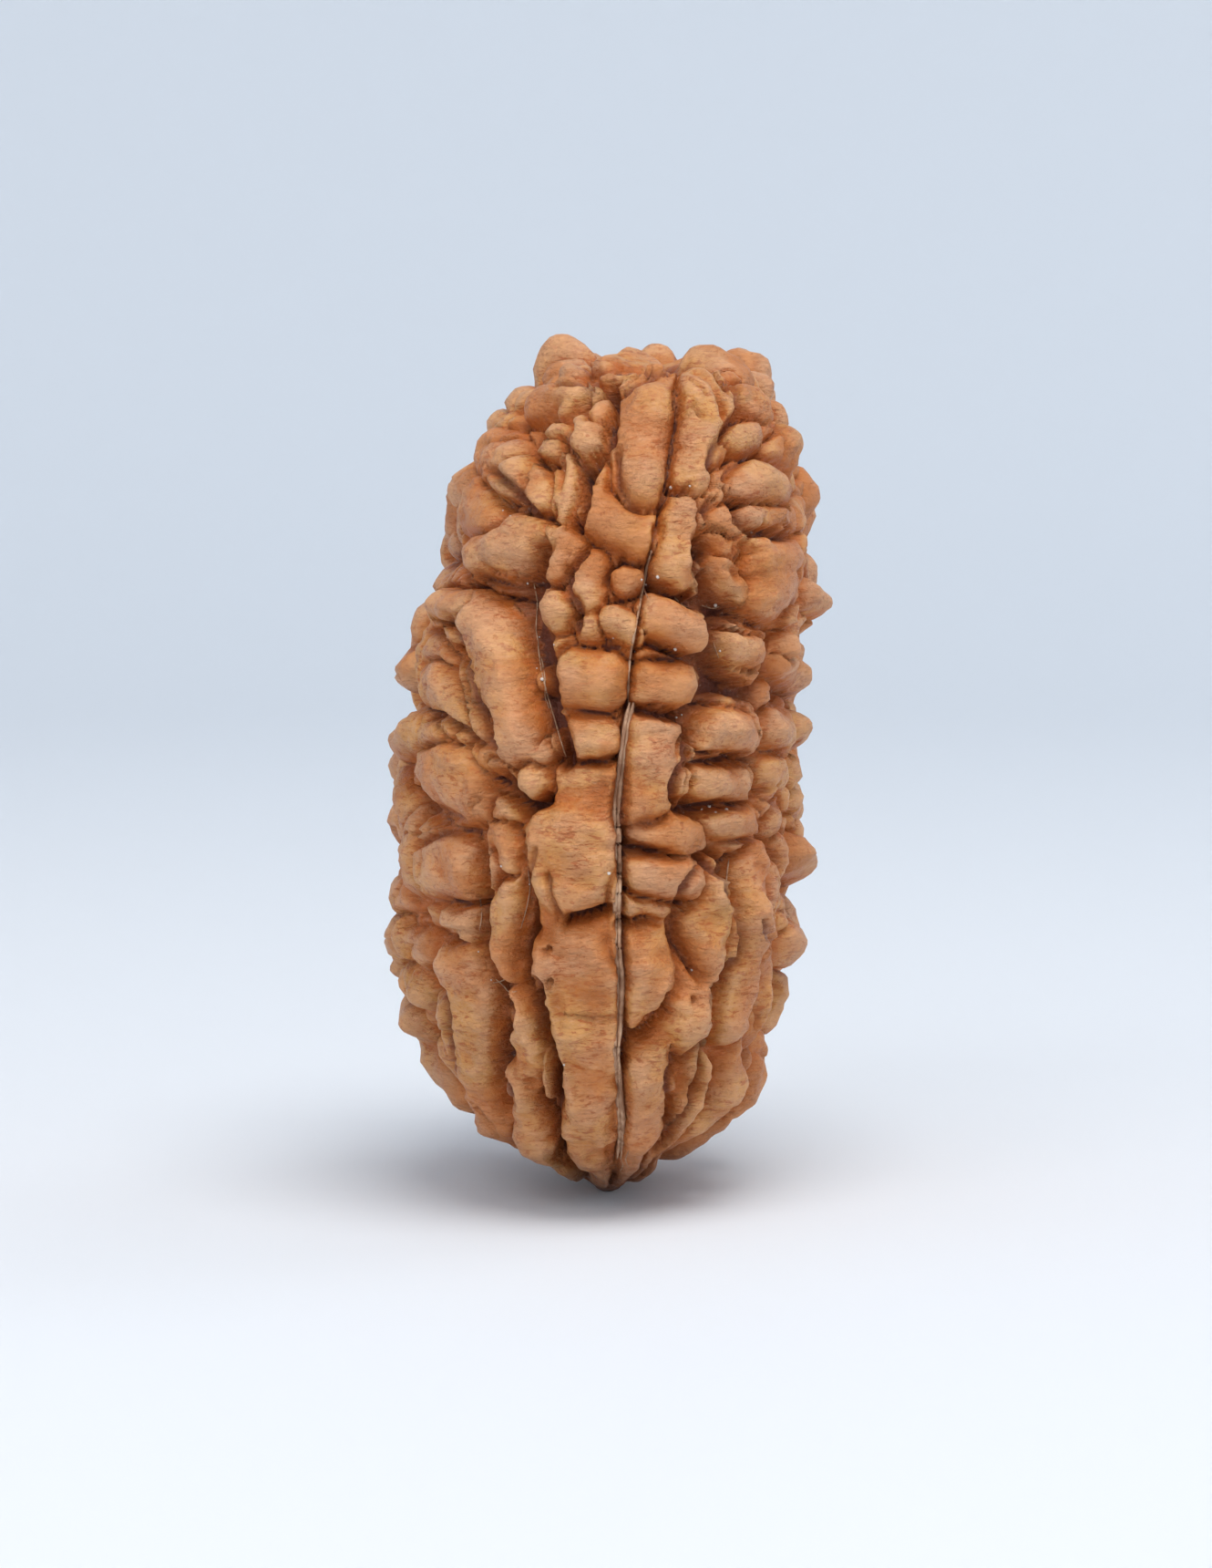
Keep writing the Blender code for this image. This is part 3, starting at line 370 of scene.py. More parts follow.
# Fine creases of the front, followed on the photograph in its own pixels: depth and half
# width as shares of the usual ones, then the points
photoCreases = {
    "upper groove": (1.5, 0.6, [(743, 401), (745, 438), (742, 485), (736, 516), (725, 554), (718, 591),
        (711, 619), (709, 641), (704, 672), (698, 707), (693, 744), (690, 775)]),
    "lower groove": (1.3, 1.2, [(690, 775), (687, 800), (684, 840), (682, 870), (681, 900), (682, 960),
        (682, 1010), (683, 1050), (684, 1094), (683, 1125), (682, 1156), (683, 1187), (685, 1219),
        (685, 1250), (682, 1272)]),
    "slot beside the fibre": (1.9, 0.6, [(687, 850), (687, 900), (687, 960), (686, 1010), (688, 1050),
        (688, 1100), (687, 1150), (688, 1200), (689, 1245), (685, 1262)]),
    "crown left": (1.2, 1.0, [(739, 394), (701, 391), (670, 397), (651, 413), (643, 432), (645, 451)]),
    "under knob one": (1.3, 1.0, [(582, 419), (607, 419), (639, 416), (657, 404), (679, 392), (701, 392)]),
    "curl right": (1.6, 1.2, [(717, 401), (692, 419), (676, 438), (673, 463), (670, 485), (654, 504),
        (639, 529), (636, 554), (632, 579)]),
    "curl left": (1.0, 1.0, [(639, 441), (626, 463), (620, 485), (636, 506), (652, 500)]),
    "long pad left": (1.2, 0.9, [(678, 495), (679, 529), (692, 548), (710, 556), (725, 555)]),
    "long pad right": (0.8, 0.9, [(747, 447), (760, 440), (770, 452)]),
    "right pad foot": (1.4, 1.0, [(734, 538), (746, 540), (757, 533)]),
    "right lobe": (1.0, 1.0, [(796, 408), (811, 430), (811, 450), (795, 472), (782, 494), (779, 512)]),
    "right shoulder": (1.2, 1.0, [(797, 524), (807, 510), (826, 503), (845, 508)]),
    "right flank one": (1.5, 1.2, [(800, 546), (812, 566), (826, 584), (850, 586), (876, 590)]),
    "left shoulder": (1.4, 1.2, [(536, 514), (561, 535), (582, 561), (604, 567)]),
    "left notch": (1.0, 0.9, [(590, 506), (602, 517), (611, 512)]),
    "under left lobe": (1.3, 1.1, [(526, 633), (557, 642), (589, 640)]),
    "over the long ridge": (1.4, 1.1, [(523, 640), (545, 656), (570, 655), (590, 648)]),
    "left valley": (1.4, 1.4, [(592, 600), (589, 640), (586, 672), (592, 697), (595, 719), (598, 747),
        (604, 775), (611, 800), (618, 820), (627, 838)]),
    "long ridge left": (1.3, 1.1, [(488, 676), (497, 690), (505, 712), (513, 748), (520, 778), (536, 800),
        (536, 815)]),
    "cluster one": (1.3, 1.1, [(641, 606), (625, 626), (621, 647), (637, 666), (632, 692)]),
    "cluster two": (1.0, 0.9, [(664, 640), (667, 626), (684, 617), (702, 621)]),
    "cluster three": (0.8, 0.9, [(658, 596), (672, 600), (684, 609)]),
    "pad row 650": (0.7, 0.8, [(664, 661), (684, 659), (704, 652)]),
    "right of 650": (1.5, 1.1, [(712, 640), (732, 643), (751, 655), (779, 664)]),
    "right of 715": (1.4, 1.1, [(712, 706), (732, 713), (751, 719), (772, 730)]),
    "recess right": (1.4, 1.6, [(770, 610), (782, 640), (792, 668), (787, 700), (785, 735), (777, 755)]),
    "pad foot at 785": (1.5, 1.2, [(700, 778), (722, 782), (748, 786)]),
    "right edge at 800": (1.2, 1.2, [(754, 776), (757, 807), (753, 838), (741, 857), (739, 875)]),
    "pad foot at 835": (1.4, 1.0, [(610, 834), (635, 838), (657, 835), (679, 830)]),
    "flank right 840": (1.3, 1.1, [(758, 840), (785, 836), (816, 827)]),
    "flank right 885": (1.2, 1.1, [(742, 876), (748, 892), (778, 886), (812, 883)]),
    "right of 935": (1.6, 1.2, [(684, 932), (707, 932), (731, 937)]),
    "right pocket": (1.5, 1.1, [(765, 938), (782, 952), (796, 962), (800, 938)]),
    "right edge at 980": (1.1, 1.1, [(768, 955), (753, 972), (742, 1000), (744, 1034), (762, 1066)]),
    "pad foot at 1000": (1.5, 1.1, [(625, 1006), (647, 1001), (670, 996)]),
    "left corner": (0.8, 0.8, [(586, 932), (581, 957), (579, 986), (576, 1011), (571, 1037), (568, 1060)]),
    "left pad edge": (0.9, 0.9, [(600, 960), (604, 985), (613, 1003)]),
    "left long valley": (1.7, 1.5, [(529, 942), (531, 979), (529, 1011), (531, 1030), (535, 1053),
        (544, 1075), (551, 1097), (554, 1125), (551, 1156), (547, 1187), (546, 1214)]),
    "over the low left": (1.3, 1.1, [(452, 930), (470, 920), (485, 914), (504, 914), (519, 920)]),
    "low left seam": (0.7, 0.7, [(436, 1023), (457, 1020), (488, 1022), (519, 1025)]),
    "left knob seam": (1.2, 1.1, [(470, 788), (485, 786), (504, 799), (526, 816), (540, 818)]),
    "vee under the ridge": (1.6, 1.3, [(547, 854), (560, 872), (579, 888), (592, 884), (598, 874)]),
    "lower left valley": (1.3, 1.2, [(584, 1080), (592, 1098), (594, 1125), (607, 1147), (613, 1175),
        (605, 1212), (604, 1237), (610, 1262)]),
    "left flap": (1.3, 1.2, [(480, 1076), (487, 1100), (489, 1134), (494, 1160), (494, 1196)]),
    "left flap top": (0.9, 0.9, [(442, 1098), (452, 1112), (470, 1116)]),
    "curved crease": (1.7, 1.0, [(689, 1135), (700, 1134), (710, 1130), (722, 1116), (730, 1103),
        (735, 1092)]),
    "right hollow": (1.8, 1.3, [(788, 1086), (794, 1070), (806, 1058)]),
    "low right valley": (1.5, 1.2, [(782, 1140), (777, 1175), (769, 1200), (755, 1225), (740, 1246),
        (733, 1262)]),
    "low right seam": (1.0, 1.0, [(741, 1160), (733, 1185), (735, 1205), (731, 1232)]),
    "low pad seam": (0.6, 0.8, [(621, 1116), (650, 1119), (676, 1117)]),
    "right rim": (1.2, 1.1, [(843, 1012), (849, 1035), (854, 1060), (850, 1085)]),
    "right strip": (1.0, 1.0, [(801, 975), (812, 1000), (818, 1030), (812, 1060)]),
}
photoValleys = {      # broad soft ones: depth, half width, both in millimetres, and the pixels
    "right recess": (0.8, 0.55, [(773, 596), (785, 640), (792, 668), (787, 700), (783, 735), (776, 770),
        (768, 800)]),
    "left valley": (0.6, 0.42, [(590, 600), (588, 640), (587, 672), (592, 697), (596, 719), (600, 747),
        (606, 775), (613, 800), (620, 825)]),
    "under the long ridge": (0.5, 0.4, [(545, 850), (560, 870), (579, 886), (596, 880)]),
    "left long valley": (0.5, 0.34, [(529, 942), (531, 979), (529, 1011), (531, 1030), (535, 1053),
        (544, 1075), (553, 1110), (553, 1160)]),
    "lower left valley": (0.4, 0.34, [(584, 1080), (594, 1110), (600, 1140), (610, 1170), (606, 1210)]),
    "crown recess": (0.5, 0.34, [(654, 500), (641, 529), (636, 554), (630, 579)]),
    "right flank": (0.5, 0.4, [(748, 884), (764, 890), (792, 886)]),
    "under the upper pads": (0.4, 0.3, [(716, 646), (745, 656), (776, 666)]),
    "under the middle pads": (0.5, 0.28, [(708, 780), (728, 784), (746, 787)]),
    "low right valley": (0.5, 0.32, [(790, 1080), (786, 1110), (782, 1140), (777, 1175), (766, 1205)]),
    "low pad foot": (0.35, 0.3, [(700, 936), (722, 940), (740, 940)]),
}
photoPits = {        # depth, half width, both in millimetres, and the pixel
    "pit by the groove": (0.45, 0.13, (763, 1100)),
    "pit under it": (0.4, 0.14, (741, 1150)),
    "left pit": (0.4, 0.11, (602, 1077)),
    "left pit above": (0.4, 0.1, (602, 1041)),
    "low left pit": (0.45, 0.24, (594, 1194)),
    "dark pocket": (0.6, 0.22, (735, 785)),
    "upper hole": (0.4, 0.15, (667, 713)),
}


def axisXAt(z):
    shifts = np.linspace(-beadForm["axisRounding"], beadForm["axisRounding"], 7)
    return sum(np.interp(z + shift, beadForm["axisZ"], beadForm["axisX"]) for shift in shifts) / len(shifts)


def midZ():
    return (beadForm["floorBottom"] + beadForm["floorTop"]) / 2


def halfZ():
    return (beadForm["floorTop"] - beadForm["floorBottom"]) / 2


def fullness(z):
    return np.where(z > midZ(), beadForm["topFullness"], beadForm["bottomFullness"])


def smoothStep(share):
    share = np.clip(share, 0, 1)
    return share * share * (3 - 2 * share)


def tipScale(height):      # the lower tip draws in, for heights from -1 at the bottom to 1 at the top
    return 1 - beadForm["tipNarrowing"] * (1 - smoothStep((1 + height) / beadForm["tipShare"]))


def floorPoints(directions):      # the crevice floor in these directions, and the way out from it
    n = fullness(midZ() + directions[:, 2])
    flat = np.hypot(directions[:, 0], directions[:, 1])
    reach = (flat ** n + np.abs(directions[:, 2]) ** n) ** (-1 / n)
    unit = directions * reach[:, None]
    ring = np.maximum(flat * reach, 1e-6)
    points = unit * (beadForm["floorHalfX"], beadForm["floorHalfY"], halfZ())
    points[:, :2] *= tipScale(unit[:, 2])[:, None]
    points[:, 2] += midZ()
    points[:, 0] += axisXAt(points[:, 2])
    steep = ring ** (n - 2)
    outward = np.stack([steep * unit[:, 0] / beadForm["floorHalfX"],
                        steep * unit[:, 1] / beadForm["floorHalfY"],
                        np.sign(unit[:, 2]) * np.abs(unit[:, 2]) ** (n - 1) / halfZ()], axis=1)
    outward /= np.linalg.norm(outward, axis=1)[:, None]
    return points, outward


def layoutPoints(angle, z):      # places on the surface that the lobes are laid out on
    reachZ = halfZ() + beadForm["meanRise"]
    height = np.clip((z - midZ()) / reachZ, -1, 1)
    n = fullness(z)
    ring = (1 - np.abs(height) ** n) ** (1 / n) * tipScale(height)
    turn = np.radians(angle)
    x = axisXAt(z) + (beadForm["floorHalfX"] + beadForm["meanRise"]) * ring * np.sin(turn)
    y = -(beadForm["floorHalfY"] + beadForm["meanRise"]) * ring * np.cos(turn)
    return np.stack([x, y, midZ() + reachZ * height], axis=1)


def strokePoints(path):      # a stroke's centre points, close together, and its half width at each
    corners = np.array(path, dtype=float)
    places = layoutPoints(corners[:, 0], corners[:, 1])
    if len(corners) == 1:
        return places, corners[:, 2]
    runs = np.linalg.norm(np.diff(places, axis=0), axis=1)
    along = np.concatenate([[0], np.cumsum(runs)])
    stations = np.linspace(0, along[-1], max(2, int(along[-1] / beadForm["strokeStep"]) + 1))
    angle, z, half = (np.interp(stations, along, corners[:, i]) for i in range(3))
    return layoutPoints(angle, z), half


def nearTo(places, centres, half):      # the places near a stroke and their distances in half widths
    half = np.broadcast_to(half, len(centres))
    middle = centres.mean(axis=0)
    reach = np.linalg.norm(centres - middle, axis=1).max() + half.max()
    near = np.nonzero(np.sum((places - middle) ** 2, axis=1) < reach ** 2)[0]
    ratio = np.full(len(near), np.inf)
    for centre, width in zip(centres, half):
        ratio = np.minimum(ratio, np.linalg.norm(places[near] - centre, axis=1) / width)
    inside = ratio < 1
    return near[inside], ratio[inside]


def keepHighest(values, near, others):
    values[near] = np.maximum(values[near], others)


def stackDome(highest, second, near, dome):      # the two highest domes at each place
    keepHighest(second, near, np.minimum(highest[near], dome))
    keepHighest(highest, near, dome)


def addLobes(levels, places, lobes, power, rounding):
    highest, second = levels
    for rise, path in lobes:
        wide = [(angle, z, width * beadForm["lobeSpread"]) for angle, z, width in path]
        near, ratio = nearTo(places, *strokePoints(wide))
        stackDome(highest, second, near, rise * (1 - ratio ** power) ** rounding)


def cutFurrows(level, places):
    crease = np.zeros(len(places))
    for depth, path in furrows + [rearGroove]:
        near, ratio = nearTo(places, *strokePoints(path))
        level[near] -= depth * (1 - ratio) ** beadForm["furrowPower"]
        keepHighest(crease, near, (1 - ratio) ** 2)
    return crease


def stepOn(angle, z, heading, length):      # one step along the surface
    ends = layoutPoints(np.array([angle - 0.5, angle + 0.5]), np.array([z, z]))
    perMillimetre = 1 / max(np.linalg.norm(ends[1] - ends[0]), 0.03)
    return angle + math.cos(heading) * length * perMillimetre, z + math.sin(heading) * length


def grownLobes(laid):      # winding lobes that stop at their neighbours
    form = beadForm
    draw = random.Random(form["growthSeed"])
    strokes = [strokePoints(path) for rise, path in laid]
    centres = np.concatenate([stroke[0] for stroke in strokes])
    halves = np.concatenate([stroke[1] for stroke in strokes])
    lobes = []
    for tries, fromAngle, halfRange, stepRange, riseRange in form["growth"]:
        for attempt in range(tries):
            angle, z = draw.uniform(-180, 180), draw.uniform(*form["growthZ"])
            half, steps = draw.uniform(*halfRange), draw.randint(*stepRange)
            headings = form["upperHeading" if z > form["uprightBelow"] else "lowerHeading"]
            heading = math.radians(draw.gauss(*headings))
            rise = draw.uniform(*riseRange) * (form["crownRise"] if z > form["crownAbove"] else 1)
            if abs(angle) < fromAngle and z < form["crownAbove"]:
                continue
            path = []
            for step in range(steps + 1):
                place = (angle, z, half * draw.uniform(*form["growthVary"]))
                centre = layoutPoints(np.array([angle]), np.array([z]))[0]
                gap = np.linalg.norm(centres - centre, axis=1)
                low, high = form["growthEnds"]
                if np.any(gap < form["leastGap"] * (place[2] + halves)) or not low < z < high:
                    break
                path.append(place)
                heading += math.radians(draw.uniform(-form["turn"], form["turn"]))
                angle, z = stepOn(angle, z, heading, form["growthStep"])
            if len(path) > min(steps, 2) * form["leastShare"]:
                newCentres, newHalves = strokePoints(path)
                centres = np.concatenate([centres, newCentres])
                halves = np.concatenate([halves, newHalves])
                lobes.append((rise, path))
    return lobes


def noiseAt(places, size, offset):      # size is one number, or one for each axis
    scaled = places / size + np.array(offset)
    return np.array([noise.noise(place) for place in scaled.tolist()])


def reliefOf(surface, outward):      # how far the relief stands out, and where it is creased
    form, fine = beadForm, fineForm
    places = surface + form["meanRise"] * outward
    wander = np.stack([form["wobble"] * noiseAt(places, form["wobbleSize"], (7 * axis, 3.1, 0))
                       + fine["edgeWander"] * noiseAt(places, fine["edgeWanderSize"], (5 * axis, 0, 2))
                       for axis in range(3)], axis=1)
    places = places + wander
    domes = crownLobes + leftUpperLobes + rightUpperLobes + lowerRidges
    domes = domes + grownLobes(domes + groovePads + grooveBand)
    swell = 1 + form["swell"] * 2 * noiseAt(places, form["swellSize"], (0, 5, 0))
    vein = noiseAt(places, form["veinSize"], (11, 0, 2))
    levels = np.zeros(len(places)), np.zeros(len(places))
    addLobes(levels, places, domes, form["domePower"], form["domeRound"])
    addLobes(levels, places, groovePads, form["padPower"], form["padRound"])
    highest, second = levels
    vary = fine["creaseVary"] * 2 * noiseAt(places, fine["creaseVarySize"], (1, 9, 4))
    depth = np.clip(1 + vary, *fine["creaseRange"])
    faded = np.exp((second - highest) * form["creaseFade"] / form["creaseWidth"])
    crease = depth * np.clip(second, 0, 1) * faded
    cut = np.clip(depth * form["creaseCut"], 0, form["deepestCut"])
    level = swell * (highest - cut * second * np.exp((second - highest) / form["creaseWidth"]))
    band = np.zeros(len(places)), np.zeros(len(places))
    addLobes(band, places, grooveBand, form["padPower"], form["padRound"])
    crease = np.where(band[0] > level, 0, crease)
    level = np.maximum(level, band[0])
    aside = smoothStep((surface[:, 1] - form["asideFrom"]) / form["asideOver"])
    veined = aside * (1 - smoothStep(surface[:, 2] - fine["veinTop"]))
    level -= form["veinDepth"] * veined * np.exp(-(vein / form["veinWidth"]) ** 2) * np.clip(level, 0, 1)
    low = smoothStep((form["lowFloorTop"] - surface[:, 2]) / (form["lowFloorTop"] - form["lowFloorFull"]))
    level = np.maximum(level, form["lowFloorRise"] * low * (1 - (1 - form["lowFloorAside"]) * aside))
    crease = np.maximum(crease, cutFurrows(level, places))
    lumps = (fine["knobbles"] * noiseAt(places, fine["knobbleSize"], (3, 1, 8))
             + fine["pimples"] * noiseAt(places, fine["pimpleSize"], (6, 2, 1)))
    level += lumps * np.clip(level, 0, 1)
    tip = smoothStep((surface[:, 2] - form["floorBottom"]) / form["tipTaper"])
    level *= form["tipRise"] + (1 - form["tipRise"]) * tip
    return level + form["roughness"] * noiseAt(places, form["roughnessSize"], (0, 0, 9)), crease


def lowerFoot(points):      # draws the tip down to the flat spot that the bead stands on
    fine = fineForm
    away = np.hypot(points[:, 0], points[:, 1] / fine["tipDeepness"])
    share = smoothStep((fine["tipReach"] - away) / (fine["tipReach"] - fine["tipFull"]))
    cone = fine["tipSlope"] * np.maximum(0, away - fine["tipFlat"]) - fine["tipSink"]
    points[:, 2] -= np.where(points[:, 2] < midZ(), share * (points[:, 2] - cone), 0)
    seenHeight = points[:, 2] - fine["tipLean"] * np.abs(points[:, 1])
    left, right = (np.interp(seenHeight, *zip(*fine[side])) for side in ("tipLeft", "tipRight"))
    aside = points[:, 0] - fine["tipMiddle"]
    points[:, 0] = fine["tipMiddle"] + aside * np.where(aside < 0, left, right)


def lowerCrown(points):      # the dip between the two crown knobs
    fine = fineForm
    aside = np.clip(1 - ((points[:, 0] - fine["crownDipMiddle"]) / fine["crownDipHalf"]) ** 2, 0, 1)
    points[:, 2] -= fine["crownDip"] * aside * smoothStep(points[:, 2] - fine["crownDipFrom"])


def cameraPlace():
    lift = math.radians(view["elevation"])
    back = Vector((0, -math.cos(lift), math.sin(lift)))
    return Vector(view["target"]) + back * view["distance"], back


def pixelRay(x, y):      # from the camera through a pixel of the photograph
    place, back = cameraPlace()
    turn = back.to_track_quat("Z", "Y")
    reach = view["lens"] / view["sensor"] * view["imageHeight"]
    across, up = x - view["imageWidth"] / 2, view["imageHeight"] / 2 - y
    return place, (turn @ Vector((across, up, -reach))).normalized()


def followPixels(tree, points):      # points on the surface under a line drawn on the photograph
    found = []
    for start, end in zip(points, points[1:] or points):
        count = max(1, int(math.dist(start, end) / fineForm["pixelStep"]))
        for step in range(count + 1):
            share = step / count
            x, y = (a + (b - a) * share for a, b in zip(start, end))
            hit = tree.ray_cast(*pixelRay(x, y))[0]
            if hit:
                found.append(hit[:])
    return np.array(found)


def meshFrom(name, points, faces):
    mesh = bpy.data.meshes.new(name)
    mesh.from_pydata([tuple(point) for point in points], [], faces)
    mesh.update()
    return mesh


def objectFrom(mesh):
    thing = bpy.data.objects.new(mesh.name, mesh)
    bpy.context.scene.collection.objects.link(thing)
    return thing


def rowsOf(collection, name):      # three numbers for each of the mesh's points
    values = np.empty(len(collection) * 3, dtype=np.float32)
    collection.foreach_get(name, values)
    return values.reshape(-1, 3).astype(float)


def pointsOf(mesh):
    return rowsOf(mesh.vertices, "co")


def treeOf(mesh, points):
    return BVHTree.FromPolygons(points.tolist(), [tuple(face.vertices) for face in mesh.polygons])


def movePoints(mesh, points):
    mesh.vertices.foreach_set("co", points.astype(np.float32).ravel())
    mesh.update()


def evened(mesh, values, times):      # values averaged over neighbours, so many times
    ends = np.empty(len(mesh.edges) * 2, dtype=np.int32)
    mesh.edges.foreach_get("vertices", ends)
    ends = ends.reshape(-1, 2)
    here = np.concatenate([ends[:, 0], ends[:, 1]])
    there = np.concatenate([ends[:, 1], ends[:, 0]])
    count = np.bincount(here, minlength=len(values))[:, None]
    for turn in range(times):
        total = np.stack([np.bincount(here, values[there, column], len(values))
                          for column in range(values.shape[1])], axis=1)
        values = (values + total) / (1 + count)
    return values


def withModifier(thing, kind, **settings):      # gives the object the mesh that one modifier makes
    change = thing.modifiers.new(kind.lower(), kind)
    for key, value in settings.items():
        setattr(change, key, value)
    depsgraph = bpy.context.evaluated_depsgraph_get()
    mesh = bpy.data.meshes.new_from_object(thing.evaluated_get(depsgraph))
    thing.modifiers.remove(change)
    thing.data = mesh


def thinOut(bead, points):      # down to the number of triangles, with the front kept finer
    fine = fineForm
    group = bead.vertex_groups.new(name="thin_out")
    behind = smoothStep((points[:, 1] + fine["frontReach"]) / (2 * fine["frontReach"]))
    for tenth in range(1, 11):
        members = np.nonzero(np.round(behind * 10) == tenth)[0]
        group.add(members.tolist(), tenth / 10, "REPLACE")
    withModifier(bead, "DECIMATE", ratio=fine["triangles"] / len(bead.data.polygons),
                 vertex_group=group.name, vertex_group_factor=fine["frontKeep"])
    bead.vertex_groups.clear()
    print("thinned to", len(bead.data.polygons), "triangles")


def makeBead():
    bpy.ops.mesh.primitive_ico_sphere_add(subdivisions=fineForm["sphereDivisions"], radius=1)
    bead = bpy.context.object
    bead.name = "bead_surface"
    mesh = bead.data
    directions = pointsOf(mesh)
    directions /= np.linalg.norm(directions, axis=1)[:, None]
    surface, outward = floorPoints(directions)
    level, crease = reliefOf(surface, outward)
    movePoints(mesh, surface + outward * level[:, None])
    print("relief raised on", len(level), "points")
    shapePhotoLobes(mesh, surface, outward, level, crease)
    cutPhotoLines(mesh, surface, outward, level, crease)
    points = pointsOf(mesh)
    lowerFoot(points)
    lowerCrown(points)
    movePoints(mesh, points)
    finePoints = KDTree(len(points))
    for index, point in enumerate(points.tolist()):
        finePoints.insert(point, index)
    finePoints.balance()      # finds each thinned point's values again
    thinOut(bead, points)
    mesh = bead.data
    dressSurface(mesh, finePoints, level, crease)
    mesh.name = "bead_surface"
    mesh.shade_smooth()
    return bead


def shapePhotoLobes(mesh, surface, outward, level, crease):      # draws the relief towards photoLobes
    fine = fineForm
    points = pointsOf(mesh)
    tree = treeOf(mesh, points)
    flatten = flatAlongView(fine["lobeDeepness"])
    flatPoints = points @ flatten
    highest, second, pull = (np.zeros(len(points)) for layer in range(3))
    for lobes in photoLobes.values():
        for rise, half, line in lobes:
            centres = followPixels(tree, line) @ flatten
            near, ratio = nearTo(flatPoints, centres, half * fine["lobeWiden"] * fine["lobeReach"])
            ratio *= fine["lobeReach"]
            dome = rise * np.maximum(0, 1 - ratio ** fine["lobePower"]) ** fine["lobeRound"]
            stackDome(highest, second, near, dome)
            keepHighest(pull, near, smoothStep((fine["lobeReach"] - ratio) / (fine["lobeReach"] - 1)))
    between = np.exp((second - highest) / fine["lobeCutWidth"])
    lumps = fine["knobbles"] * noiseAt(points, fine["knobbleSize"], (3, 1, 8))
    target = np.maximum(highest - fine["lobeCut"] * second * between, fine["lobeFloor"]) + lumps
    pull *= fine["lobePull"] * facingCamera(outward)
    level += pull * (target - level)
    crease += pull * (np.clip(second, 0, 1) * between ** 2 - crease)
    level *= fine["roundGrow"]
    rounded = evened(mesh, level[:, None], fine["roundPasses"])[:, 0] + fine["roundLeave"]
    level[:] = np.minimum(level, rounded)      # takes the edges off the lobes and leaves the creases sharp
    movePoints(mesh, surface + outward * level[:, None])
    print("photograph's lobes shaped")


def facingCamera(outward):      # 1 where the surface faces the camera, 0 where it turns away
    start, full = fineForm["facingFrom"], fineForm["facingFull"]
    return smoothStep((outward @ np.array(cameraPlace()[1]) - start) / (full - start))


def flatAlongView(deepness):      # squeezes distances along the camera's view, which count for less
    back = np.array(cameraPlace()[1])
    return np.eye(3) - (1 - deepness) * np.outer(back, back)


def cutPhotoLines(mesh, surface, outward, level, crease):
    fine = fineForm
    points = pointsOf(mesh)
    tree = treeOf(mesh, points)
    cut = np.zeros(len(points))
    flatten = flatAlongView(fine["lineDeepness"])
    flatPoints = points @ flatten
    facing = facingCamera(outward)
    for depth, half, line in photoCreases.values():
        centres = followPixels(tree, line) @ flatten
        near, ratio = nearTo(flatPoints, centres, half * fine["creaseHalf"])
        walls = depth * fine["creaseDepth"] * (1 - ratio ** fine["creasePower"])
        keepHighest(cut, near, walls * facing[near])
        # painted shade: camera-facing creases are marked to be coloured dark
        keepHighest(crease, near, min(1, depth) * (1 - ratio) ** fine["creaseDark"] * facing[near])
    soften = flatAlongView(fine["valleyDeepness"])
    softPoints = points @ soften
    valley = np.zeros(len(points))
    for depth, half, line in photoValleys.values():
        near, ratio = nearTo(softPoints, followPixels(tree, line) @ soften, half)
        keepHighest(valley, near, depth * (1 - ratio ** 2) ** fine["valleyPower"] * facing[near])
        # the valleys are marked for painted shade too
        keepHighest(crease, near, fine["valleyDark"] * (1 - ratio ** 2) * facing[near])
    for depth, half, pixel in photoPits.values():
        near, ratio = nearTo(points, followPixels(tree, [pixel]), half)
        keepHighest(cut, near, depth * np.sqrt(1 - ratio ** 2))
        # and the pits are marked for painted shade
        keepHighest(crease, near, 1 - ratio)
    level -= np.minimum(cut + valley, level + fine["cutBelow"])
    movePoints(mesh, surface + outward * level[:, None])
    print("photograph's creases cut")


# the rise, crease and hollow values also steer the wood's painted shade and painted highlight
def dressSurface(mesh, finePoints, level, crease):      # wrinkles, and what the wood's colour reads
    fine = fineForm
    points = pointsOf(mesh)
    nearest = np.array([finePoints.find(point)[1] for point in points.tolist()])
    rise = level[nearest]
    wrinkleShape = np.array((fine["wrinkleLength"], fine["wrinkleLength"], fine["wrinkleHeight"]))
    wrinkles = fine["wrinkles"] * noiseAt(points, wrinkleShape, (2, 4, 6)) * smoothStep(rise)
    points = points + rowsOf(mesh.vertex_normals, "vector") * wrinkles[:, None]
    points = np.clip(points, *(np.array(corner) / mm for corner in cadBox))
    movePoints(mesh, points)
    wide = evened(mesh, points, fine["hollowPasses"])
    shares = evened(mesh, np.stack([rise, crease[nearest]], axis=1), fine["valuePasses"])
    writeValues(mesh, "rise", shares[:, 0])
    writeValues(mesh, "crease", shares[:, 1])
    writeValues(mesh, "hollow", np.sum((wide - points) * rowsOf(mesh.vertex_normals, "vector"), axis=1))
    movePoints(mesh, points * mm)


def writeValues(mesh, name, values):
    layer = mesh.attributes.new(name, "FLOAT", "POINT")
    layer.data.foreach_set("value", values.astype(np.float32))
    print(name, "from", round(float(values.min()), 3), "to", round(float(values.max()), 3))


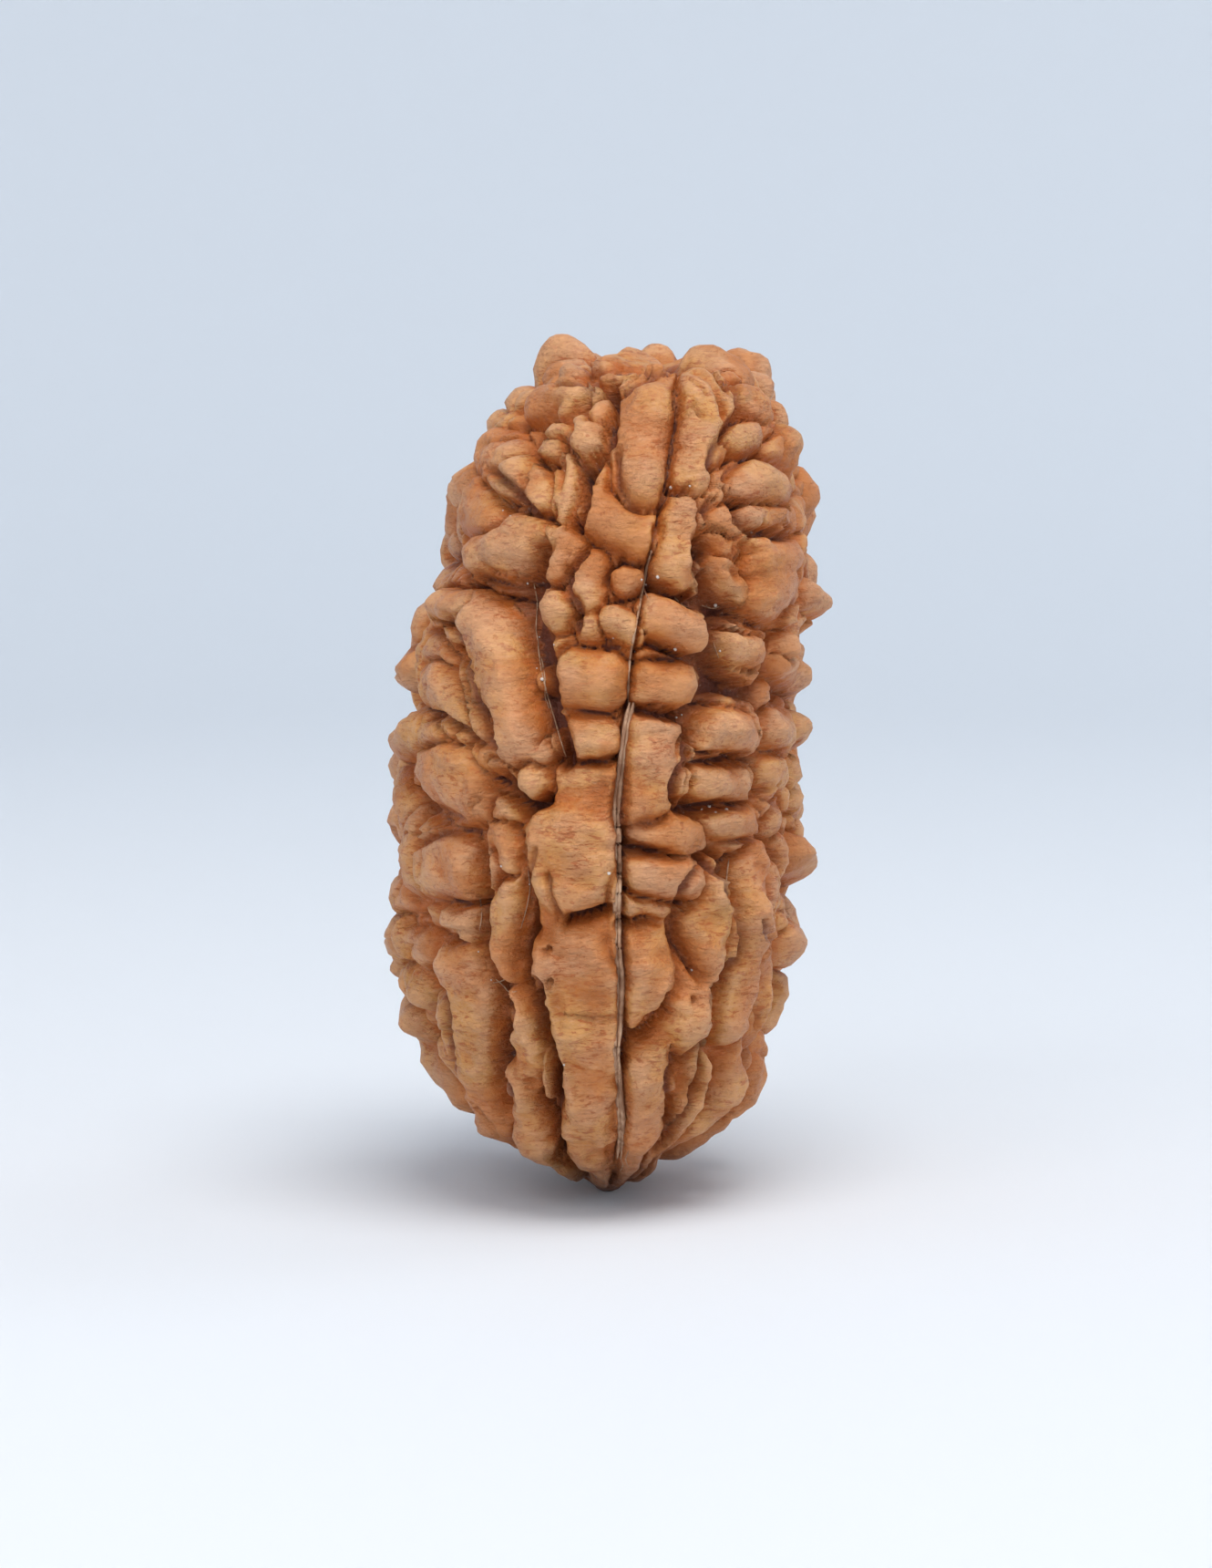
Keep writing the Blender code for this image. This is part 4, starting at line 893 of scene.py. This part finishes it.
beadWood = {
    "pinkTop": (0.6, 0.26, 0.112), "ochreTop": (0.58, 0.272, 0.075), "greyTop": (0.5, 0.235, 0.095),
    # the darkest colour is painted shade in creases and hollows, and also darkens faint grain flecks
    # the wall colour is the wood's own orange and also painted bounce light glowing in the recess walls
    "wall": (0.46, 0.115, 0.015), "deep": (0.14, 0.032, 0.012), "streak": (0.36, 0.078, 0.012),
    # the pale colour next is the wood's own pale patches and also painted highlight on convex lobe tops
    "rust": (0.5, 0.158, 0.03), "paleTopAndHighlight": (0.64, 0.33, 0.165), "dust": (0.5, 0.38, 0.3),
    # the tip colour is painted shade at the foot, where the bead meets the floor
    "tip": (0.14, 0.055, 0.028),
    "roughness": (0.4, 0.6), "specular": 0.4,
    "wrinkleDepth": 0.14, "grainDepth": 0.045,
}


class Nodes:      # short names for building a material's nodes
    def __init__(self, name):
        self.material = bpy.data.materials.new(name)
        self.material.use_nodes = True
        self.tree = self.material.node_tree
        self.shader = self.tree.nodes["Principled BSDF"]

    def add(self, kind, settings=None, **inputs):
        node = self.tree.nodes.new("ShaderNode" + kind)
        for key, value in (settings or {}).items():
            setattr(node, key, value)
        for key, value in inputs.items():
            self.put(node.inputs[key], value)
        return node

    def put(self, socket, value):
        if isinstance(value, bpy.types.NodeSocket):
            self.tree.links.new(value, socket)
        else:
            socket.default_value = value

    def math(self, operation, *values):
        node = self.add("Math", {"operation": operation})
        for socket, value in zip(node.inputs, values):
            self.put(socket, value)
        return node.outputs[0]

    def spread(self, value, fromLow, fromHigh, toLow=0.0, toHigh=1.0):
        node = self.add("MapRange", {"interpolation_type": "SMOOTHSTEP"})
        for socket, number in zip(node.inputs, (value, fromLow, fromHigh, toLow, toHigh)):
            self.put(socket, number)
        return node.outputs[0]

    def mix(self, share, first, second):
        node = self.add("Mix", {"data_type": "RGBA"})
        for socket, value in ((node.inputs[0], share), (node.inputs[6], first), (node.inputs[7], second)):
            self.put(socket, (*value, 1) if isinstance(value, tuple) else value)
        return node.outputs[2]

    def value(self, name):
        return self.add("Attribute", {"attribute_name": name}).outputs["Fac"]

    def noise(self, place, scale, detail=3.0, rough=0.55, stretch=None, distortion=0.0):
        if stretch:
            place = self.add("Mapping", Vector=place, Scale=stretch).outputs[0]
        node = self.add("TexNoise", Vector=place, Scale=scale, Detail=detail, Roughness=rough,
                        Distortion=distortion)
        return node.outputs[0]

    def place(self):      # where on the object, in millimetres
        scaled = self.add("VectorMath", {"operation": "SCALE"}, Scale=1 / mm)
        self.put(scaled.inputs[0], self.add("TexCoord").outputs["Object"])
        return scaled.outputs[0]

    def dress(self, **values):      # the shader's own sockets, with _ for a space
        for name, value in values.items():
            self.put(self.shader.inputs[name.replace("_", " ")], value)


def makeBeadWood():
    wood = beadWood
    n = Nodes("dry_bead_wood")
    place = n.place()
    rise, crease, hollow = n.value("rise"), n.value("crease"), n.value("hollow")
    blotches = n.noise(place, 0.45, 3)
    greys = n.noise(place, 0.8, 4)
    streaks = n.noise(place, 1.0, 6, 0.66, (2.6, 2.6, 8.5), 0.7)
    grain = n.noise(place, 7.0, 3, 0.6)
    top = n.mix(n.spread(blotches, 0.38, 0.62), wood["ochreTop"], wood["pinkTop"])
    top = n.mix(n.spread(greys, 0.55, 0.7, 0, 0.6), top, wood["greyTop"])
    top = n.mix(n.spread(streaks, 0.52, 0.62, 0, 0.85), top, wood["streak"])
    top = n.mix(n.spread(streaks, 0.47, 0.36, 0, 0.5), top, wood["paleTopAndHighlight"])
    # painted highlight: convex lobe tops are lightened where light falls most
    top = n.mix(n.spread(hollow, -0.05, -0.3, 0, 0.6), top, wood["paleTopAndHighlight"])
    rusty = n.spread(n.noise(place, 0.42, 3), 0.46, 0.6)
    rusty = n.math("MULTIPLY", rusty, n.spread(rise, 1.7, 1.0, 0.2, 0.75))
    top = n.mix(rusty, top, wood["rust"])
    freckles = n.noise(place, 5.5, 2, 0.5)
    freckled = n.math("MULTIPLY", n.spread(freckles, 0.6, 0.68, 0, 0.5), n.spread(greys, 0.42, 0.55))
    top = n.mix(freckled, top, wood["streak"])
    # recess walls painted saturated orange: partly the wood's own colour, partly painted bounce light and
    # glow through the wood
    wallToneAndBounceShare = n.math("MULTIPLY", n.spread(rise, 1.5, 0.7), n.spread(hollow, -0.16, 0.04))
    wallToneAndBounceShare = n.math("MULTIPLY", wallToneAndBounceShare, n.spread(streaks, 0.3, 0.6, 0.6, 1.0))
    colour = n.mix(wallToneAndBounceShare, top, wood["wall"])
    # painted shade: creases, hollows and low crevice floors are coloured dark where shade falls
    creaseShadeShare = n.math("MAXIMUM", n.spread(crease, 0.2, 0.9, 0, 0.92), n.spread(hollow, 0.18, 0.45))
    creaseShadeShare = n.math("MAXIMUM", creaseShadeShare, n.spread(rise, 0.6, 0.1, 0, 0.6))
    colour = n.mix(creaseShadeShare, colour, wood["deep"])
    flour = n.spread(n.noise(place, 5.0, 4, 0.7), 0.6, 0.7)
    flour = n.math("MULTIPLY", flour, n.spread(hollow, 0.05, 0.3, 0, 0.5))
    colour = n.mix(flour, colour, wood["dust"])
    # painted shade: darker towards the bottom tip, where the bead stands on the floor
    height = n.add("SeparateXYZ", Vector=place).outputs[2]
    colour = n.mix(n.spread(height, 2.4, 0.3, 0, 0.75), colour, wood["tip"])
    # faint grain flecks in the same dark colour, the wood's own tone
    colour = n.mix(n.spread(grain, 0.3, 0.7, 0.12, 0.0), colour, wood["deep"])
    roughness = n.spread(grain, 0.25, 0.75, *wood["roughness"])
    wrinkles = n.noise(place, 1.0, 6, 0.62, (3.4, 3.4, 9.5), 0.6)
    wrinkles = n.math("MULTIPLY", wrinkles, n.spread(n.noise(place, 0.9, 2), 0.35, 0.62, 0.35, 1.0))
    bump = n.add("Bump", Strength=1.0, Distance=wood["wrinkleDepth"] * mm, Height=wrinkles)
    fineBump = n.add("Bump", Strength=1.0, Distance=wood["grainDepth"] * mm, Height=grain)
    n.put(fineBump.inputs["Normal"], bump.outputs[0])
    n.dress(Base_Color=colour, Roughness=roughness, Normal=fineBump.outputs[0],
            Specular_IOR_Level=wood["specular"])
    return n.material


studio = {
    "dish": {"flatRadius": 150, "steepness": 0.003, "radius": 900, "rings": 90, "sides": 96, "sink": 0.01},
    # the far floor is painted darker and bluer: painted shade where the light falls off towards the back
    "nearFloor": (0.73, 0.75, 0.78), "farFloorShaded": (0.615, 0.66, 0.715), "fadeFrom": -30, "fadeTo": 190,
    "floorRoughness": 0.7,
    "sky": (0.80, 0.86, 0.95), "skyStrength": 0.66,
    "lightAim": (0, 0, 10),
    # place in millimetres, size, watts, colour
    "lights": {"key": ((70, -170, 460), 340, 1.7, (1.0, 0.985, 0.96)),
               "fill": ((-150, -330, 260), 300, 0.5, (0.96, 0.98, 1.0)),
               "rim": ((240, 160, 300), 200, 0.15, (1.0, 1.0, 1.0))},
}


def makeStudio():
    dish, sides = studio["dish"], studio["dish"]["sides"]
    points, faces = [(0, 0, -dish["sink"])], []
    for radius in np.linspace(0, dish["radius"], dish["rings"])[1:]:
        z = dish["steepness"] * max(0, radius - dish["flatRadius"]) ** 2 - dish["sink"]
        for side in range(sides):
            turn = math.tau * side / sides
            points.append((radius * math.cos(turn), radius * math.sin(turn), z))
    for side in range(sides):
        faces.append((0, 1 + side, 1 + (side + 1) % sides))
    for ring in range(dish["rings"] - 2):
        for side in range(sides):
            a, b = 1 + ring * sides + side, 1 + ring * sides + (side + 1) % sides
            faces.append((a, a + sides, b + sides, b))
    floor = objectFrom(meshFrom("studio_floor", np.array(points) * mm, faces))
    floor.data.shade_smooth()
    n = Nodes("pale_paper")
    depth = n.add("SeparateXYZ", Vector=n.place()).outputs[1]
    # painted shade: the floor colour darkens towards the back
    fade = n.spread(depth, studio["fadeFrom"], studio["fadeTo"])
    n.dress(Base_Color=n.mix(fade, studio["nearFloor"], studio["farFloorShaded"]),
            Roughness=studio["floorRoughness"])
    floor.data.materials.append(n.material)
    for name, (place, size, power, colour) in studio["lights"].items():
        light = bpy.data.lights.new(name, "AREA")
        light.shape, light.size, light.energy, light.color = "DISK", size * mm, power, colour
        lamp = bpy.data.objects.new(name, light)
        lamp.location = Vector(place) * mm
        away = Vector(studio["lightAim"]) * mm - lamp.location
        lamp.rotation_euler = away.to_track_quat("-Z", "Y").to_euler()
        bpy.context.scene.collection.objects.link(lamp)
    world = bpy.data.worlds.new("studio_air")
    world.use_nodes = True
    air = world.node_tree.nodes["Background"]
    air.inputs[0].default_value = (*studio["sky"], 1)
    air.inputs[1].default_value = studio["skyStrength"]
    bpy.context.scene.world = world
    bpy.context.scene.view_settings.view_transform = "Standard"
    print("studio ready")


def makeCamera():
    data = bpy.data.cameras.new("photo_camera")
    data.lens, data.sensor_width = view["lens"], view["sensor"]
    data.clip_start, data.clip_end = 0.01, 10
    camera = bpy.data.objects.new("photo_camera", data)
    place, back = cameraPlace()
    camera.location = place * mm
    camera.rotation_euler = back.to_track_quat("Z", "Y").to_euler()
    bpy.context.scene.collection.objects.link(camera)
    bpy.context.scene.camera = camera


grooveFibre = {      # the pale double fibre that lies in the lower groove
    "pixels": [(693, 770), (687, 798), (682, 839), (677, 870), (676, 895), (677, 920), (678, 958),
        (677, 995), (677, 1020), (678, 1051), (681, 1062), (680, 1094), (678, 1125), (676, 1156),
        (678, 1187), (681, 1219), (682, 1244), (681, 1259), (679, 1272)],
    "upperPixels": [(715, 604), (709, 625), (705, 646), (700, 675), (694, 705), (689, 740), (690, 772)],
    "upperStrand": 0.04,
    "strand": 0.068, "apart": 0.056, "sway": 25, "proud": 0.17,      # sway is in degrees
    "unevenness": 0.25, "unevenSize": 0.5, "sides": 8, "step": 0.12, "evening": 8,
    "taperOver": 6, "taperFrom": 0.3,      # steps from an end, and the share of the width there
}
strayHairs = {
    "step": 0.08, "evening": 3, "sides": 6, "taperOver": 4, "taperFrom": 0.4,
    "hairs": {      # half width in millimetres, then the pixels it runs through
        "curl": (0.022, [(544, 1074), (552, 1080), (557, 1087), (564, 1089), (569, 1086)]),
        "curl end": (0.02, [(541, 1078), (549, 1077), (556, 1073)]),
        "valley one": (0.02, [(586, 640), (590, 660), (588, 690), (592, 712)]),
        "valley two": (0.024, [(590, 706), (594, 735), (600, 760), (609, 790), (616, 815), (622, 832)]),
        "valley three": (0.018, [(594, 720), (598, 742), (598, 765), (606, 785)]),
        "across the right crease": (0.018, [(740, 655), (748, 663), (757, 668)]),
        "upper right": (0.02, [(770, 664), (783, 668), (792, 664)]),
        "right recess": (0.018, [(783, 705), (786, 716), (789, 722)]),
        "flank fork": (0.022, [(800, 942), (798, 955), (797, 966)]),
        "left valley": (0.02, [(527, 985), (529, 1005), (526, 1022)]),
        "left corner": (0.016, [(579, 950), (582, 975), (577, 1000), (571, 1020)]),
        "by the groove top": (0.016, [(704, 640), (709, 652), (714, 660)]),
        "tip one": (0.02, [(679, 1268), (684, 1276), (681, 1285)]),
        "tip two": (0.016, [(690, 1262), (686, 1272), (690, 1281)]),
    },
}
dustSpecks = {      # half width in millimetres and the pixels of the specks
    "sizes": (0.025, 0.035, 0.055), "divisions": 2, "unevenness": (0.75, 1.15), "seed": 5,
    "pixels": [(722, 633), (709, 641), (704, 636), (770, 888), (785, 891), (778, 885), (797, 888),
        (550, 950), (581, 970), (589, 733), (595, 745), (592, 699), (757, 533), (736, 535), (741, 712),
        (790, 714), (785, 664), (560, 566), (552, 560), (748, 784), (742, 787), (525, 1044), (539, 1075),
        (673, 700), (579, 640), (697, 715), (668, 958), (859, 1115), (759, 1064), (608, 707), (619, 1168),
        (835, 1260)],
    "proud": 0.3,
}
dryFibre = {"colour": (0.5, 0.31, 0.19), "shade": (0.25, 0.12, 0.06), "roughness": 0.6, "depth": 0.02}
dust = {"colour": (0.6, 0.53, 0.47), "roughness": 0.7}


def tubePart(route, halfWidths, sides):      # points and faces of one closed tube along a route
    points, faces = [], []
    ahead = np.gradient(route, axis=0)
    for place, forward, half in zip(route, ahead, halfWidths):
        turn = Vector(forward).to_track_quat("Z", "Y")
        for side in range(sides):
            angle = math.tau * side / sides
            around = Vector((half * math.cos(angle), half * math.sin(angle), 0))
            points.append(Vector(place) + turn @ around)
    for ring in range(len(route) - 1):
        for side in range(sides):
            a, b = ring * sides + side, ring * sides + (side + 1) % sides
            faces.append((a, b, b + sides, a + sides))
    faces.append(tuple(range(sides))[::-1])
    faces.append(tuple(range(len(points) - sides, len(points))))
    return points, faces


def joinParts(name, parts):
    points, faces = [], []
    for partPoints, partFaces in parts:
        faces += [tuple(index + len(points) for index in face) for face in partFaces]
        points += partPoints
    mesh = meshFrom(name, [Vector(point) * mm for point in points], faces)
    mesh.shade_smooth()
    return objectFrom(mesh)


def evenRoute(route, step, evening):      # the route at even steps, smoothed
    along = np.concatenate([[0], np.cumsum(np.linalg.norm(np.diff(route, axis=0), axis=1))])
    stations = np.arange(0, along[-1], step)
    even = np.stack([np.interp(stations, along, route[:, axis]) for axis in range(3)], axis=1)
    for turn in range(evening):
        even[1:-1] = (even[:-2] + 2 * even[1:-1] + even[2:]) / 4
    return even


def laidRoute(tree, pixels, form, lift):      # under a line of pixels, lifted towards the camera
    route = evenRoute(followPixels(tree, pixels), form["step"], form["evening"])
    route[:, 1] -= lift
    return route


def taperOf(count, form):      # the share of the full width, step by step
    steps = np.arange(count)
    return np.minimum(1, np.minimum(steps, steps[::-1]) / form["taperOver"] + form["taperFrom"])


def unevenAlong(route, fibre, strand):
    return 1 + fibre["unevenness"] * 2 * noiseAt(route, fibre["unevenSize"], (strand, 4, 0))


def makeGrooveFibre(tree):
    fibre = grooveFibre
    route = laidRoute(tree, fibre["pixels"], fibre, fibre["proud"])
    parts = []
    for strand in (-1, 1):
        sway = np.radians(fibre["sway"]) * np.sin(np.arange(len(route)) * fibre["step"])
        turns = sway + (strand > 0) * math.pi
        offset = np.stack([np.cos(turns), np.sin(turns), np.zeros(len(route))], axis=1) * fibre["apart"]
        halves = fibre["strand"] * unevenAlong(route, fibre, strand) * taperOf(len(route), fibre)
        parts.append(tubePart(route + offset, halves, fibre["sides"]))
    upper = laidRoute(tree, fibre["upperPixels"], fibre, fibre["upperStrand"])
    parts.append(tubePart(upper, fibre["upperStrand"] * unevenAlong(upper, fibre, 3), fibre["sides"]))
    return joinParts("groove_fibre", parts)


def makeStrayHairs(tree):
    parts = []
    for half, pixels in strayHairs["hairs"].values():
        route = laidRoute(tree, pixels, strayHairs, half)
        parts.append(tubePart(route, half * taperOf(len(route), strayHairs), strayHairs["sides"]))
    return joinParts("stray_hairs", parts)


def makeDustSpecks(tree):
    form = dustSpecks
    draw = random.Random(form["seed"])
    parts = []
    for pixel in form["pixels"]:
        centre = followPixels(tree, [pixel])
        if not len(centre):
            continue
        half = draw.choice(form["sizes"])
        ball = bmesh.new()
        bmesh.ops.create_icosphere(ball, subdivisions=form["divisions"], radius=half)
        lift = Vector(centre[0]) + Vector((0, -half * form["proud"], 0))
        points = [vert.co * draw.uniform(*form["unevenness"]) + lift for vert in ball.verts]
        parts.append((points, [tuple(vert.index for vert in face.verts) for face in ball.faces]))
        ball.free()
    return joinParts("dust_specks", parts)


def makeDryFibre():
    n = Nodes("dry_fibre")
    along = n.noise(n.place(), 2.2, 4, 0.6, (2.5, 2.5, 0.8))
    colour = n.mix(n.spread(along, 0.35, 0.65), dryFibre["shade"], dryFibre["colour"])
    bump = n.add("Bump", Strength=1.0, Distance=dryFibre["depth"] * mm, Height=along)
    n.dress(Base_Color=colour, Roughness=dryFibre["roughness"], Normal=bump.outputs[0])
    return n.material


def makeDust():
    n = Nodes("pale_dust")
    n.dress(Base_Color=(*dust["colour"], 1), Roughness=dust["roughness"])
    return n.material


makeCamera()
makeStudio()
bead = makeBead()
tree = treeOf(bead.data, pointsOf(bead.data) / mm)      # in millimetres, to lay things on
fibre = makeGrooveFibre(tree)
hairs = makeStrayHairs(tree)
specks = makeDustSpecks(tree)
print("fibres and dust laid on")

fibreMaterial = makeDryFibre()
materials = (makeBeadWood(), fibreMaterial, fibreMaterial, makeDust())
for piece, material in zip((bead, fibre, hairs, specks), materials):
    piece.data.materials.clear()
    piece.data.materials.append(material)
    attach(piece, "root")
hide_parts("bead")
print("materials given")
